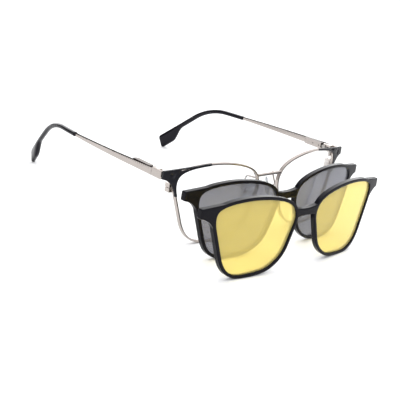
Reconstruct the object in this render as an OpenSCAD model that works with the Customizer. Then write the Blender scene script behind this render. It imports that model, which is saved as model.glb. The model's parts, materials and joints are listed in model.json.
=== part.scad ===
// Cat eye eyeglasses with two magnetic clip-on lens frames, drawn apart in a row on one floor.
// +X is the wearer's left, +Y runs back along the temples, +Z is up.
// The origin is the middle of the bridge's flat front face.
// Pieces are drawn for the wearer's left and mirrored for the wearer's right.

/* [Lens outline] */
// Upswept corner beside the temple, from the lens centre: sideways
corner_up_out_x = 30.6; // [29:0.1:32]
// Upswept corner beside the temple: height
corner_up_out_z = 20.1; // [19:0.1:21]
// Corner under the brow beside the nose: sideways
corner_up_in_x = -31.2; // [-33:0.1:-29]
// Corner under the brow beside the nose: height
corner_up_in_z = 17.7; // [16:0.1:19]
// Bottom corner beside the nose: sideways
corner_low_in_x = -18.6; // [-20:0.1:-17]
// Bottom corner beside the nose: height
corner_low_in_z = -19.6; // [-21:0.1:-18]
// Bottom corner beside the cheek: sideways
corner_low_out_x = 17.2; // [15:0.1:19]
// Bottom corner beside the cheek: height
corner_low_out_z = -22; // [-23:0.1:-20]
// How much of each side the rounding of the upswept corner takes
round_up_out = 7.5; // [5:0.1:9]
// Rounding of the corner under the brow
round_up_in = 9.2; // [7:0.1:11]
// Rounding of the bottom corner beside the nose
round_low_in = 7.2; // [5:0.1:9]
// Rounding of the bottom corner beside the cheek
round_low_out = 6.4; // [5:0.1:8]
// How far the top edge swells up between its corners
swell_top = 3.4; // [2:0.1:4]
// How far the bottom edge swells down between its corners
swell_low = 0.5; // [0:0.1:1.5]

/* [Front of the glasses] */
// Distance between the two lens centres
lens_pitch = 71.6; // [70:0.2:73]
// Radius of the bend of the front round the face
front_bend_r = 280; // [240:10:500]
// Width of the metal eyewire, seen from the front
rim_w = 1.1; // [0.9:0.05:1.6]
// Depth of the metal eyewire from front to back
rim_d = 2.2; // [2:0.1:3]
// Thickness of each lens
lens_t = 1.2; // [1:0.05:1.4]
// How far each lens sits in its eyewire
groove = 0.45; // [0.3:0.05:0.6]
// Clearance of a lens in its groove
lens_fit = 0.03; // [0.02:0.01:0.08]
// Clearance round every fixed screw
screw_fit = 0.01; // [0.01:0.01:0.03]
// Height of the middle of the bridge above the floor that the glasses stand on
bridge_height = 35.6; // [34:0.1:37]
// Height of the bridge bar
bridge_h = 1.3; // [1:0.1:2]
// Depth of the bridge bar
bridge_d = 1.7; // [1.2:0.1:2]

/* [Corner trims] */
// Thickness of the black trim in front of the eyewire
trim_skin = 0.6; // [0.4:0.1:1]
// How far the trim reaches out past the eyewire
trim_reach = 7.4; // [6.5:0.1:8]
// How far the outer end of the trim drops below the top of the eyewire
trim_drop = 3.1; // [2:0.1:4]
// Height of the outer end of the trim
trim_h = 4.5; // [4.4:0.1:5.5]
// Place of the trim's thin end along the brow, from the lens centre
brow_end = 7.5; // [5:0.1:10]
// Height above the floor at which the trim ends beside the lens
trim_low = 28; // [26:0.1:29]
// Length of the slit between the brow wing and the eyewire
slit_l = 5.2; // [3:0.1:7]
// Height of the wide end of the slit
slit_h = 0.8; // [0.5:0.05:1.2]
// Thickness of the brow wing above the slit
wing_t = 0.8; // [0.6:0.05:1.2]

/* [Magnets] */
// Radius of each round magnet
magnet_r = 1.1; // [0.9:0.05:1.2]
// Thickness of each magnet
magnet_t = 1.3; // [0.8:0.1:1.6]
// Distance of each magnet out from the eyewire
magnet_out = 1.8; // [1.7:0.05:2.2]
// Height of the magnets above the floor
magnet_height = 40; // [39.6:0.1:40.4]
// Clearance round a magnet in its pocket
magnet_fit = 0.03; // [0.02:0.01:0.06]
// Radius of the flat seat in front of each magnet of the glasses
seat_r = 1.3; // [1.1:0.05:1.4]
// Depth of the flat seat below the trim's front
seat_deep = 0.2; // [0.15:0.05:0.3]

/* [Closing blocks] */
// Height of each closing block behind the eyewire
lock_h = 5; // [4:0.1:6]
// Width of each closing block
lock_w = 2.6; // [2.4:0.1:3]
// How far each closing block reaches back from the eyewire
lock_l = 3.6; // [3:0.1:5]
// Height above the floor of the cut between the two halves
lock_cut = 32.1; // [31.8:0.1:32.6]
// Width of the cut
lock_gap = 0.25; // [0.2:0.05:0.4]
// Radius of the closing screw
lock_screw_r = 0.6; // [0.5:0.05:0.8]

/* [Hinges] */
// Thickness of the end pieces
endpiece_t = 1.5; // [1.2:0.1:1.8]
// Height of the end pieces and of the front of the temples
endpiece_h = 4.4; // [4:0.1:5]
// How far the end pieces sit below the middle of the trim's outer end
endpiece_low = 0.8; // [0.5:0.1:1.2]
// Distance from the front to the joint between end piece and temple
joint_y = 18.8; // [17:0.1:21]
// Gap between end piece and temple
joint_gap = 0.15; // [0.1:0.05:0.3]
// Radius of the hinge barrel
barrel_r = 1.35; // [1.2:0.05:1.5]
// Radius of the hinge screw
pin_r = 0.6; // [0.5:0.05:0.7]
// Running clearance on the hinge screw
pin_fit = 0.04; // [0.02:0.01:0.08]
// Height of the knuckle that turns between the two fixed ones
knuckle_h = 1.8; // [1.4:0.1:2.2]
// Gap between the knuckles
knuckle_gap = 0.08; // [0.05:0.01:0.12]
// Gap between barrel and temple wall
barrel_clear = 0.2; // [0.15:0.05:0.3]

/* [Spring hinges] */
// Length of each spring box
box_l = 14; // [13:0.5:16]
// Thickness of each spring box inwards from the temple
box_t = 2.7; // [2.6:0.1:3]
// Height of each spring box
box_h = 3.8; // [3.4:0.1:4.2]
// Distance from hinge axis to the spring box
box_start = 3.2; // [3:0.1:4]
// Radius of the bore for spring and bushing
box_bore_r = 1; // [0.95:0.01:1.1]
// Depth of that bore
box_bore_l = 12.4; // [12:0.1:12.6]
// Length of the bushing in the mouth of the box
bushing_l = 3; // [2.5:0.1:3.5]
// Radius of the plunger rod
rod_r = 0.5; // [0.4:0.02:0.55]
// Running clearance on the rod
rod_fit = 0.04; // [0.02:0.01:0.08]
// Travel of the plunger against its spring
spring_travel = 1.2; // [0.8:0.1:1.5]
// Thickness of the spring's wire
spring_wire = 0.26; // [0.2:0.02:0.3]
// Turns of each spring
spring_turns = 7; // [5:1:9]
// Radius of the small screw that holds the bushing
grub_r = 0.4; // [0.3:0.05:0.5]

/* [Temples] */
// Thickness of the metal temple
arm_t = 1.2; // [1:0.1:1.5]
// Distance from the front to the start of the black tip
sleeve_y = 92; // [88:0.5:96]
// Height of the metal temple where the tip starts
arm_end_h = 1.9; // [1.6:0.1:2.4]
// How far the temple falls from hinge to tip start
arm_fall = 1.7; // [1:0.1:3]
// Distance from the front to the start of the temple's bow
bow_y = 38; // [37.5:0.5:44]
// Radius of the bow along the metal temple
bow_r = 620; // [500:20:1000]
// Radius of the bow of the black tip
tip_bow_r = 260; // [200:10:350]

/* [Temple tips] */
// Height of the tip at its start
sleeve_h = 2.7; // [2.6:0.1:3]
// Thickness of the tip
sleeve_t = 2.3; // [2.2:0.1:2.8]
// Straight length before the tip bends down
sleeve_l = 15.2; // [13:0.1:17]
// Radius of the bend over the ear
ear_r = 41; // [38:1:46]
// Slope of the tip below the ear, in degrees
ear_angle = 40.5; // [40:0.25:41.5]
// Height of the tip where the paddle starts
tip_h = 3; // [2.8:0.1:3.4]
// Width of the paddle at the end of the tip
paddle_w = 8.2; // [8:0.1:8.6]
// Distance along the tip from the bend to where the paddle starts to spread
paddle_start = 12.5; // [11:0.5:13.5]
// Length over which the paddle spreads
paddle_spread = 14; // [12:0.5:15]
// Length of the flat that each tip stands on
foot_l = 1; // [0.6:0.1:2]
// Slope of the paddle's end face from its foot up to the rear corner, in degrees
paddle_slope = 66; // [62:1:72]
// Thickness of the metal core inside the tip
core_t = 0.9; // [0.8:0.05:1.1]
// Width of the metal core inside the tip
core_w = 1.4; // [1.2:0.1:1.6]
// Length of the core below the bend
core_l = 22; // [18:0.5:26]
// Clearance round the core
core_fit = 0.05; // [0.03:0.01:0.08]

/* [Nose pads] */
// Distance of each pad's pivot from the middle
pad_x = 10.2; // [9.8:0.1:11]
// Distance of each pad's pivot behind the front
pad_y = 7.4; // [7:0.1:9]
// Height of each pad's pivot above the floor
pad_height = 24.5; // [23:0.1:26]
// Length of each pad
pad_l = 13; // [11:0.5:15]
// Width of each pad
pad_w = 7.2; // [6.5:0.1:8]
// Thickness of each pad
pad_t = 2; // [1.8:0.1:2.4]
// Turn of each pad towards the nose, in degrees
pad_turn = 32; // [25:1:38]
// Lean of each pad's top towards the nose, in degrees
pad_lean = 12; // [8:1:15]
// Radius of the pad arm's wire
wire_r = 0.5; // [0.45:0.05:0.6]
// Radius of the pad screw
pad_screw_r = 0.4; // [0.35:0.05:0.45]
// Running clearance of the pad's boss on its screw
pad_fit = 0.04; // [0.02:0.01:0.08]
// Height above the floor at which each pad arm leaves the eyewire
pad_arm_height = 34; // [33:0.1:35]

/* [Clip-on frames] */
// Distance between the lens centres of a clip-on
clip_pitch = 67; // [66:0.2:68.4]
// How much smaller the clip-on's openings are than the lenses behind them
clip_inset = 1.7; // [1.4:0.1:2]
// Width of the clip-on's rims, seen from the front
clip_rim = 1.8; // [1.5:0.1:2]
// Depth of the clip-on frames
clip_d = 3; // [2.6:0.1:3.4]
// Thickness of the clip-on lenses
clip_lens_t = 1; // [0.8:0.1:1.2]
// How far the clip-on lens lies behind the frame's front
clip_lens_in = 0.9; // [0.7:0.1:1.1]
// Wall between each magnet and the outer end of a clip-on
clip_end_wall = 0.6; // [0.5:0.1:1]
// How far the outer end of a clip-on drops below the top of its rim
clip_drop = 4.2; // [3.5:0.1:5]
// Height of the outer end of a clip-on
clip_end_h = 4.9; // [4.6:0.1:5.5]
// Height above the floor at which a clip-on's end runs into its rim
clip_low = 25.5; // [24:0.1:27]
// Top of the clip-on's bridge above the floor
clip_bridge_top = 33.5; // [32.5:0.1:34.5]
// Height of the clip-on's bridge in the middle
clip_bridge_h = 4.2; // [3.5:0.1:5]
// How far a clip-on rises from the floor to its seat on the glasses
dock_lift = 3.4; // [3:0.1:3.8]

/* [Layout] */
// Place of the grey clip-on's middle: sideways
grey_x = -7.1; // [-9:0.1:-5]
// Place of the grey clip-on's front: before the front of the glasses
grey_y = -21.3; // [-24:0.1:-18]
// Place of the yellow clip-on's middle: sideways
yellow_x = -16.2; // [-19:0.1:-14]
// Place of the yellow clip-on's front: before the front of the glasses
yellow_y = -43.9; // [-48:0.1:-40]

/* [Hidden] */
$fn = 48;
right = -1;
left = 1;
curve_steps = 6;
big = 200;
bend_fn = 720;
bow_fn = 1440;

// Colours
silver = [0.76, 0.73, 0.71];
black = [0.1, 0.1, 0.11];
grey_tint = [0.45, 0.45, 0.47, 0.6];
yellow_tint = [1, 0.86, 0.4, 0.6];
clear_tint = [0.9, 0.93, 0.95, 0.3];

// Small helpers for points
function unit(v) = v / norm(v);
function turned(p) = [p.y, -p.x];
function at_floor(h) = h - bridge_height;
function shifted(pts, c) = [for (p = pts) p + c];
function low_z(pts) = min([for (p = pts) p.y]);
function top_z(pts) = max([for (p = pts) p.y]);
function out_x(pts) = max([for (p = pts) p.x]);
// Sideways place where an outline crosses a height, on its outer or inner side
function crossings(pts, z) = let (m = len(pts))
    [for (i = [0:m - 1]) let (a = pts[i], b = pts[(i + 1) % m])
        if ((a.y - z) * (b.y - z) <= 0 && a.y != b.y) a.x + (b.x - a.x) * (z - a.y) / (b.y - a.y)];
function outer_x(pts, z) = max(crossings(pts, z));
function inner_x(pts, z) = min(crossings(pts, z));
// Height of the top of an outline above a sideways place
function upper_z(pts, x) = let (m = len(pts))
    max([for (i = [0:m - 1]) let (a = pts[i], b = pts[(i + 1) % m])
        if ((a.x - x) * (b.x - x) <= 0 && a.x != b.x) a.y + (b.y - a.y) * (x - a.x) / (b.x - a.x)]);
// Points along one curved leg that bends at b
function leg(a, b, c) = [for (k = [0:curve_steps - 1]) let (t = k / curve_steps)
    (1 - t) * (1 - t) * a + 2 * t * (1 - t) * b + t * t * c];
// A smooth closed outline round a ring of guide points
function smooth(q) = let (m = len(q)) [for (i = [0:m - 1])
    each leg((q[(i + m - 1) % m] + q[i]) / 2, q[i], (q[i] + q[(i + 1) % m]) / 2)];
// The same outline moved out by d
function grow(pts, d) = let (m = len(pts)) [for (i = [0:m - 1])
    pts[i] + d * turned(unit(pts[(i + 1) % m] - pts[(i + m - 1) % m]))];

// The lens outline, anticlockwise from the upswept corner, centred on the lens
corners = [[corner_up_out_x, corner_up_out_z], [corner_up_in_x, corner_up_in_z],
    [corner_low_in_x, corner_low_in_z], [corner_low_out_x, corner_low_out_z]];
rounds = [round_up_out, round_up_in, round_low_in, round_low_out];
swells = [swell_top, 0, swell_low, 0];
guides = [for (i = [0:3]) let (k = (i + 1) % 4, p = corners[i], a = corners[(i + 3) % 4], b = corners[k],
        from = p + unit(b - p) * rounds[i], to = b + unit(p - b) * rounds[k])
    each [p + unit(a - p) * rounds[i], from, (from + to) / 2 + swells[i] * turned(unit(b - p))]];
lens_shape = smooth(guides);

// The front's outlines, placed
lens_centre = [lens_pitch / 2, at_floor(rim_w - low_z(lens_shape))];
opening = shifted(lens_shape, lens_centre);
rim_outline = grow(opening, rim_w);
function front_y(x) = front_bend_r - sqrt(front_bend_r * front_bend_r - x * x);

// Corner trims, end pieces and hinges
trim_cover = 0.35;
trim_in = 0.1;
slit_in = 2.9;
slit_rise = 0.35;
trim_outline = grow(opening, rim_w + trim_cover);
trim_x = out_x(rim_outline) + trim_reach;
trim_top = top_z(trim_outline) - trim_drop;
trim_bottom = trim_top - trim_h;
brow_x = lens_centre.x + brow_end;
slit_x = out_x(rim_outline) - slit_in;
magnet_x = out_x(rim_outline) + magnet_out;
magnet_z = at_floor(magnet_height);
magnet_angle = asin(magnet_x / front_bend_r);
endpiece_in = 0.2;
endpiece_lap = 3;
endpiece_x = trim_x - endpiece_in;
endpiece_z = trim_bottom + trim_h / 2 - endpiece_low;
hinge_x = endpiece_x - max(endpiece_t, arm_t) - barrel_clear - barrel_r;
hinge_y = joint_y + joint_gap / 2;
leaf_h = (endpiece_h - knuckle_h) / 2 - knuckle_gap;
pin_head_r = pin_r + 0.35;
pin_head_h = 0.5;
leaf_l = 4.4;
leaf_web_t = 0.8;
leaf_web_end = 1.7;
leaf_arm_end = 0.9;
leaf_arm_in = 0.8;

// Driver slots of the screws
slot_w = 0.24;
slot_deep = 0.3;

// Spring hinge, along the temple
box_y = hinge_y + box_start;
box_bottom = endpiece_z - box_h / 2;
box_out_x = endpiece_x - arm_t;
rod_x = box_out_x - box_t / 2;
head_t = 1;
head_room = 0.4;
spring_fit = 0.05;
bushing_fit = 0.01;
bore_end_y = box_y + box_bore_l;
head_y = bore_end_y - spring_travel - head_t - head_room;
spring_front_y = box_y + bushing_l + spring_fit;
spring_l = head_y - spring_front_y - spring_fit;
spare_hole = 3.4;
box_chamfer = 1.6;
rod_root = 0.5;

// Temple, side view: y along, z up
arm_mid_x = endpiece_x - arm_t / 2;
sleeve_z = endpiece_z - arm_fall;
arm_slope = atan2(arm_fall, sleeve_y - joint_y);
along = [cos(arm_slope), -sin(arm_slope)];
down = [cos(ear_angle), -sin(ear_angle)];
ear_turn = ear_angle - arm_slope;
sleeve_from = [sleeve_y, sleeve_z];
bend_from = sleeve_from + along * sleeve_l;
bend_centre = bend_from + ear_r * turned(along);
bend_to = bend_centre - ear_r * turned(down);
bend_steps = 10;
// The tip's centre line as rows of place, direction and half height
function ease(t) = (1 - cos(180 * max(0, min(1, t)))) / 2;
function bend_dir(k) = let (a = arm_slope + ear_turn * k / bend_steps) [cos(a), -sin(a)];
function bend_half(k) = (sleeve_h + (tip_h - sleeve_h) * k / bend_steps) / 2;
bend_line = [for (k = [0:bend_steps])
    [bend_centre - ear_r * turned(bend_dir(k)), bend_dir(k), bend_half(k)]];
tip_line = concat([[sleeve_from, along, sleeve_h / 2]], bend_line);
// The paddle: its lower side spreads, its upper side runs on to the rear corner
paddle_low = paddle_w - tip_h / 2;
function spread_low(t) = tip_h / 2 + (paddle_low - tip_h / 2) * ease(t);
spread_side = [for (k = [0:8]) bend_to + down * (paddle_start + paddle_spread * k / 8)
    + spread_low(k / 8) * turned(down)];
foot_s = (bend_to.y - paddle_low * cos(ear_angle) - at_floor(0)) / sin(ear_angle);
foot_front = bend_to + down * foot_s + paddle_low * turned(down);
foot_back = foot_front + [foot_l, 0];
end_dir = [cos(paddle_slope), sin(paddle_slope)];
upper_from = bend_to - tip_h / 2 * turned(down);
// The rear corner: where the upper side meets the end face
rear_corner = upper_from + down * cross(foot_back - upper_from, end_dir) / cross(down, end_dir);

// Plan view of the temple's bow
bow_centre = [arm_mid_x - bow_r, bow_y];
bow_angle = asin((sleeve_y - bow_y) / bow_r);
bow_end = bow_centre + bow_r * [cos(bow_angle), sin(bow_angle)];
tip_bow_centre = bow_end - tip_bow_r * [cos(bow_angle), sin(bow_angle)];

// Clip-on outlines, with their own middle at x = 0
clip_opening_shape = grow(lens_shape, -clip_inset);
clip_centre = [clip_pitch / 2, at_floor(clip_rim - low_z(clip_opening_shape))];
clip_opening = shifted(clip_opening_shape, clip_centre);
clip_outline = grow(clip_opening, clip_rim);
clip_x = magnet_x + magnet_r + clip_end_wall;
clip_top = top_z(clip_outline) - clip_drop;
clip_bridge_z = at_floor(clip_bridge_top);
grey_at = [grey_x, grey_y, 0];
yellow_at = [yellow_x, yellow_y, 0];

// Draws a piece of the wearer's left or, mirrored, of the wearer's right
module on(side) {
    mirror([side == right ? 1 : 0, 0, 0]) children();
}

// A front view outline, given depth
module prism(pts) {
    rotate([90, 0, 0]) linear_extrude(height = big, center = true) polygon(pts);
}

// A layer of the bent front, from one depth behind the front face to another
module layer(from, thick) {
    translate([0, front_bend_r, 0]) difference() {
        cylinder(r = front_bend_r - from, h = big, center = true, $fn = bend_fn);
        cylinder(r = front_bend_r - from - thick, h = big + 2, center = true, $fn = bend_fn);
    }
}

// Everything behind one depth of the bent front
module behind(from) {
    translate([0, front_bend_r, 0])
        cylinder(r = front_bend_r - from, h = big, center = true, $fn = bend_fn);
}

// A box from its low corner to its high corner
module block(low, high) {
    translate(low) cube(high - low);
}

// The cut through eyewire and closing block that lets the lens in
module closing_cut() {
    block([lens_centre.x, 0, at_floor(lock_cut) - lock_gap / 2],
        [trim_x, joint_y, at_floor(lock_cut) + lock_gap / 2]);
}

module rim(side) {
    on(side) color(silver) difference() {
        intersection() {
            prism(rim_outline);
            layer(0, rim_d);
        }
        prism(opening);
        intersection() {
            prism(grow(opening, groove));
            layer((rim_d - lens_t) / 2 - lens_fit, lens_t + 2 * lens_fit);
        }
        closing_cut();
    }
}

module lens(side) {
    on(side) color(clear_tint) intersection() {
        prism(grow(opening, groove - lens_fit));
        layer((rim_d - lens_t) / 2, lens_t);
    }
}

module bridge() {
    reach = inner_x(rim_outline, 0);
    color(silver) difference() {
        block([-reach - 1, 0, -bridge_h / 2], [reach + 1, bridge_d, bridge_h / 2]);
        for (side = [right, left]) on(side) prism(rim_outline);
    }
}

// Front view of an outer end: a straight top line from the brow, a short upright
// edge, and a hollow curve down to where the end runs into the rim
function on_line(a, b, x) = a.y + (b.y - a.y) * (x - a.x) / (b.x - a.x);
waist_low = 1;
waist_at = 5;
waist_out = 0.9;
foot_out = 0.2;
function end_view(outline, from_x, end_x, end_top, end_h, low) = let (
    low_z = at_floor(low),
    low_x = outer_x(outline, low_z),
    brow = [from_x, upper_z(outline, from_x)],
    tip = [end_x, end_top],
    waist = [outer_x(outline, end_top - end_h - waist_at) + waist_out, end_top - end_h - waist_low],
    foot = [end_x + foot_out, end_top - end_h])
    concat([[from_x, low_z], [low_x, low_z]],
        [for (k = [1:8]) let (t = k / 8)
            (1 - t) * (1 - t) * [low_x, low_z] + 2 * t * (1 - t) * waist + t * t * foot],
        [for (k = [0:8]) let (x = end_x + (from_x - end_x) * k / 8, z = on_line(brow, tip, x))
            [x, x < out_x(outline) ? max(z, upper_z(outline, x)) : z]]);

// The thin opening between brow wing and eyewire
module slit() {
    slit_top = upper_z(trim_outline, brow_x) - wing_t - (upper_z(trim_outline, brow_x) - trim_top)
        * (slit_x - brow_x) / (trim_x - brow_x);
    prism([[slit_x, slit_top - slit_h], [slit_x, slit_top], [slit_x - slit_l, slit_top + slit_rise]]);
}

// Turns a shape drawn along -Y to face out of the front at a magnet
module at_magnet(depth) {
    translate([magnet_x, front_y(magnet_x), magnet_z]) rotate([0, 0, magnet_angle])
        translate([0, depth, 0]) rotate([90, 0, 0]) children();
}

module corner_trim(side) {
    view = end_view(trim_outline, brow_x, trim_x, trim_top, trim_h, trim_low);
    on(side) color(black) difference() {
        intersection() {
            prism(view);
            layer(-trim_skin, trim_skin + rim_d);
        }
        intersection() {
            prism(rim_outline);
            behind(0);
        }
        prism(grow(opening, trim_in));
        slit();
        // flat seat for the clip-on's magnet, and the pocket behind it
        at_magnet(-trim_skin + seat_deep) cylinder(r = seat_r, h = 2);
        at_magnet(rim_d) mirror([0, 0, 1]) translate([0, 0, -magnet_t])
            cylinder(r = magnet_r + magnet_fit, h = magnet_t + 2);
    }
}

module frame_magnet(side) {
    on(side) color(silver) at_magnet(rim_d) cylinder(r = magnet_r, h = magnet_t);
}

// The place of the closing screw: behind the eyewire where it is cut
lock_out = 0.1;
lock_x = outer_x(rim_outline, at_floor(lock_cut)) + lock_out;
lock_back_y = front_y(lock_x + lock_w / 2) + rim_d + lock_l;
lock_screw_y = lock_back_y - lock_w / 2;
lock_bottom = at_floor(lock_cut) - lock_h / 2;
lock_top = at_floor(lock_cut) + lock_h / 2;
lock_head_r = lock_screw_r + 0.4;
lock_head_h = 0.7;

module closing_block(side) {
    on(side) color(silver) difference() {
        intersection() {
            block([lock_x - lock_w / 2, 0, lock_bottom], [lock_x + lock_w / 2, lock_back_y, lock_top]);
            behind(rim_d);
        }
        closing_cut();
        translate([lock_x, lock_screw_y, lock_bottom - 1]) {
            cylinder(r = lock_screw_r + screw_fit, h = lock_h + 2);
            cylinder(r = lock_head_r + screw_fit, h = lock_head_h + 1);
        }
    }
}

module closing_screw(side) {
    on(side) color(silver) translate([lock_x, lock_screw_y, lock_bottom]) difference() {
        union() {
            cylinder(r = lock_screw_r, h = lock_h);
            cylinder(r = lock_head_r, h = lock_head_h);
        }
        block([-lock_head_r, -slot_w / 2, -1], [lock_head_r, slot_w / 2, slot_deep]);
    }
}

module end_piece(side) {
    plate_bottom = endpiece_z - endpiece_h / 2;
    plate_top = endpiece_z + endpiece_h / 2;
    tab_x = out_x(rim_outline) - endpiece_lap;
    on(side) color(silver) union() {
        intersection() {
            block([tab_x, 0, plate_bottom], [endpiece_x, joint_y, plate_top]);
            layer(rim_d, endpiece_t);
        }
        intersection() {
            block([endpiece_x - endpiece_t, 0, plate_bottom], [endpiece_x, joint_y, plate_top]);
            behind(rim_d);
        }
    }
}

// A barrel ring on the hinge axis, from one height up
module barrel(low, high) {
    translate([hinge_x, hinge_y, low]) cylinder(r = barrel_r, h = high - low);
}

module hinge_leaf(side) {
    bottom = endpiece_z - endpiece_h / 2;
    top = endpiece_z + endpiece_h / 2;
    wall_x = endpiece_x - endpiece_t;
    on(side) color(silver) difference() {
        union() {
            for (low = [bottom, top - leaf_h]) {
                barrel(low, low + leaf_h);
                block([hinge_x - leaf_arm_in, joint_y - leaf_l, low],
                    [wall_x, joint_y - leaf_arm_end, low + leaf_h]);
            }
            block([wall_x - leaf_web_t, joint_y - leaf_l, bottom], [wall_x, joint_y - leaf_web_end, top]);
        }
        translate([hinge_x, hinge_y, bottom - 1])
            cylinder(r = pin_r + screw_fit, h = endpiece_h + 2);
        translate([hinge_x, hinge_y, top - pin_head_h])
            cylinder(r = pin_head_r + screw_fit, h = pin_head_h + 1);
    }
}

module hinge_screw(side) {
    bottom = endpiece_z - endpiece_h / 2;
    on(side) color(silver) translate([hinge_x, hinge_y, bottom]) difference() {
        union() {
            cylinder(r = pin_r, h = endpiece_h);
            translate([0, 0, endpiece_h - pin_head_h]) cylinder(r = pin_head_r, h = pin_head_h);
        }
        block([-pin_head_r, -slot_w / 2, endpiece_h - slot_deep], [pin_head_r, slot_w / 2, endpiece_h + 1]);
    }
}

// Knuckle and rod that the temple slides on against its spring
module plunger(side) {
    low = endpiece_z - knuckle_h / 2;
    high = endpiece_z + knuckle_h / 2;
    on(side) color(silver) difference() {
        union() {
            barrel(low, high);
            block([rod_x - rod_r, hinge_y, low], [rod_x + rod_r, box_y - rod_root, high]);
            translate([rod_x, box_y - 2 * rod_root, endpiece_z]) rotate([-90, 0, 0])
                cylinder(r = rod_r, h = head_y + head_t - box_y + 2 * rod_root);
            translate([rod_x, head_y, endpiece_z]) rotate([-90, 0, 0])
                cylinder(r = box_bore_r - rod_fit, h = head_t);
        }
        translate([hinge_x, hinge_y, low - 1]) cylinder(r = pin_r + pin_fit, h = knuckle_h + 2);
    }
}

// One unbroken round wire wound between bushing and plunger head
spring_clear = 0.06;
spring_mid_r = rod_r + spring_clear + spring_wire / 2;
spring_sides = 6;
turn_steps = 8;
function wind(k) = let (a = 360 * k / turn_steps)
    [spring_mid_r * cos(a), spring_wire / 2 + (spring_l - spring_wire) * k / (spring_turns * turn_steps),
        spring_mid_r * sin(a)];
function ring_at(k) = let (a = 360 * k / turn_steps, c = wind(k))
    [for (j = [0:spring_sides - 1]) let (b = 360 * j / spring_sides)
        c + spring_wire / 2 * [cos(b) * cos(a), sin(b), cos(b) * sin(a)]];
module spring(side) {
    rings = spring_turns * turn_steps;
    points = [for (k = [0:rings]) each ring_at(k)];
    walls = [for (k = [0:rings - 1]) for (j = [0:spring_sides - 1])
        let (a = k * spring_sides + j, b = k * spring_sides + (j + 1) % spring_sides)
        each [[a, b, b + spring_sides], [a, b + spring_sides, a + spring_sides]]];
    ends = [[for (j = [0:spring_sides - 1]) spring_sides - 1 - j],
        [for (j = [0:spring_sides - 1]) rings * spring_sides + j]];
    on(side) color(silver) translate([rod_x, spring_front_y, endpiece_z])
        polyhedron(points, concat(walls, ends));
}

module bushing(side) {
    on(side) color(silver) difference() {
        translate([rod_x, box_y, endpiece_z]) rotate([-90, 0, 0])
            cylinder(r = box_bore_r - bushing_fit, h = bushing_l);
        translate([rod_x, box_y - 1, endpiece_z]) rotate([-90, 0, 0])
            cylinder(r = rod_r + rod_fit, h = bushing_l + 2);
    }
}

// Small screw through the box's inner wall, up to the bushing
module bushing_screw(side) {
    wall = box_t / 2 - box_bore_r;
    end_gap = 0.03;
    on(side) color(silver) translate([rod_x - box_t / 2, box_y + bushing_l / 2, endpiece_z])
        rotate([0, 90, 0]) cylinder(r = grub_r - screw_fit, h = wall - end_gap);
}

module spring_box(side) {
    on(side) color(silver) difference() {
        block([rod_x - box_t / 2, box_y, box_bottom], [box_out_x, box_y + box_l, box_bottom + box_h]);
        translate([rod_x, box_y - 1, endpiece_z]) rotate([-90, 0, 0])
            cylinder(r = box_bore_r, h = box_bore_l + 1);
        translate([rod_x - box_t, box_y + bushing_l / 2, endpiece_z]) rotate([0, 90, 0])
            cylinder(r = grub_r, h = box_t);
        // second small hole, left open
        translate([rod_x - box_t, box_y + bushing_l + spare_hole, endpiece_z]) rotate([0, 90, 0])
            cylinder(r = grub_r, h = box_t - box_bore_r);
        // slanted rear end
        translate([rod_x - box_t / 2, box_y + box_l, 0]) rotate([0, 0, 45])
            cube([box_chamfer, box_chamfer, big], center = true);
    }
}

// A slab that follows the temple's bow in plan, thick sideways
module bowed(thick, from_y) {
    if (from_y < bow_y)
        block([arm_mid_x - thick / 2, from_y, -big / 2], [arm_mid_x + thick / 2, bow_y, big / 2]);
    if (from_y < sleeve_y) intersection() {
        translate(bow_centre) difference() {
            cylinder(r = bow_r + thick / 2, h = big, center = true, $fn = bow_fn);
            cylinder(r = bow_r - thick / 2, h = big + 2, center = true, $fn = bow_fn);
        }
        block([0, bow_y, -big / 2], [big, sleeve_y, big / 2]);
    }
    intersection() {
        translate(tip_bow_centre) difference() {
            cylinder(r = tip_bow_r + thick / 2, h = big, center = true, $fn = bend_fn);
            cylinder(r = tip_bow_r - thick / 2, h = big + 2, center = true, $fn = bend_fn);
        }
        block([0, sleeve_y, -big / 2], [big, big, big / 2]);
    }
}

// A side view outline, given width
module side_prism(pts) {
    rotate([90, 0, 90]) linear_extrude(height = big) polygon(pts);
}

module core_shape(extra) {
    half = core_w / 2 + extra;
    last = bend_to + down * (core_l + extra);
    line = concat([[sleeve_from - along * 2, along]], bend_line, [[last, down]]);
    upper = [for (p = line) p[0] - half * turned(p[1])];
    lower = [for (i = [len(line) - 1:-1:0]) line[i][0] + half * turned(line[i][1])];
    side_prism(concat(upper, lower));
}

module temple(side) {
    front_y0 = joint_y + joint_gap;
    on(side) color(silver) {
        intersection() {
            side_prism([[front_y0, endpiece_z - endpiece_h / 2], [front_y0, endpiece_z + endpiece_h / 2],
                [sleeve_y, sleeve_z + arm_end_h / 2], [sleeve_y, sleeve_z - arm_end_h / 2]]);
            bowed(arm_t, front_y0);
        }
        intersection() {
            core_shape(0);
            bowed(core_t, sleeve_y - 1);
            block([0, sleeve_y - 1, -big], [big, big, big]);
        }
    }
}

module temple_tip(side) {
    last = len(tip_line) - 1;
    upper = [for (p = tip_line) p[0] - p[2] * turned(p[1])];
    lower = [for (i = [last:-1:0]) tip_line[i][0] + tip_line[i][2] * turned(tip_line[i][1])];
    paddle = concat([rear_corner, foot_back, foot_front], [for (i = [8:-1:0]) spread_side[i]]);
    on(side) color(black) difference() {
        intersection() {
            side_prism(concat(upper, paddle, lower));
            bowed(sleeve_t, sleeve_y);
        }
        intersection() {
            core_shape(core_fit);
            bowed(core_t + 2 * core_fit, sleeve_y);
        }
    }
}

// Places a pad's own frame: its nose side faces -X, its long axis runs along Z
pad_at = [pad_x, pad_y, at_floor(pad_height)];
module at_pad() {
    translate(pad_at) rotate([0, 0, -pad_turn]) rotate([0, -pad_lean, 0]) children();
}
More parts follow.
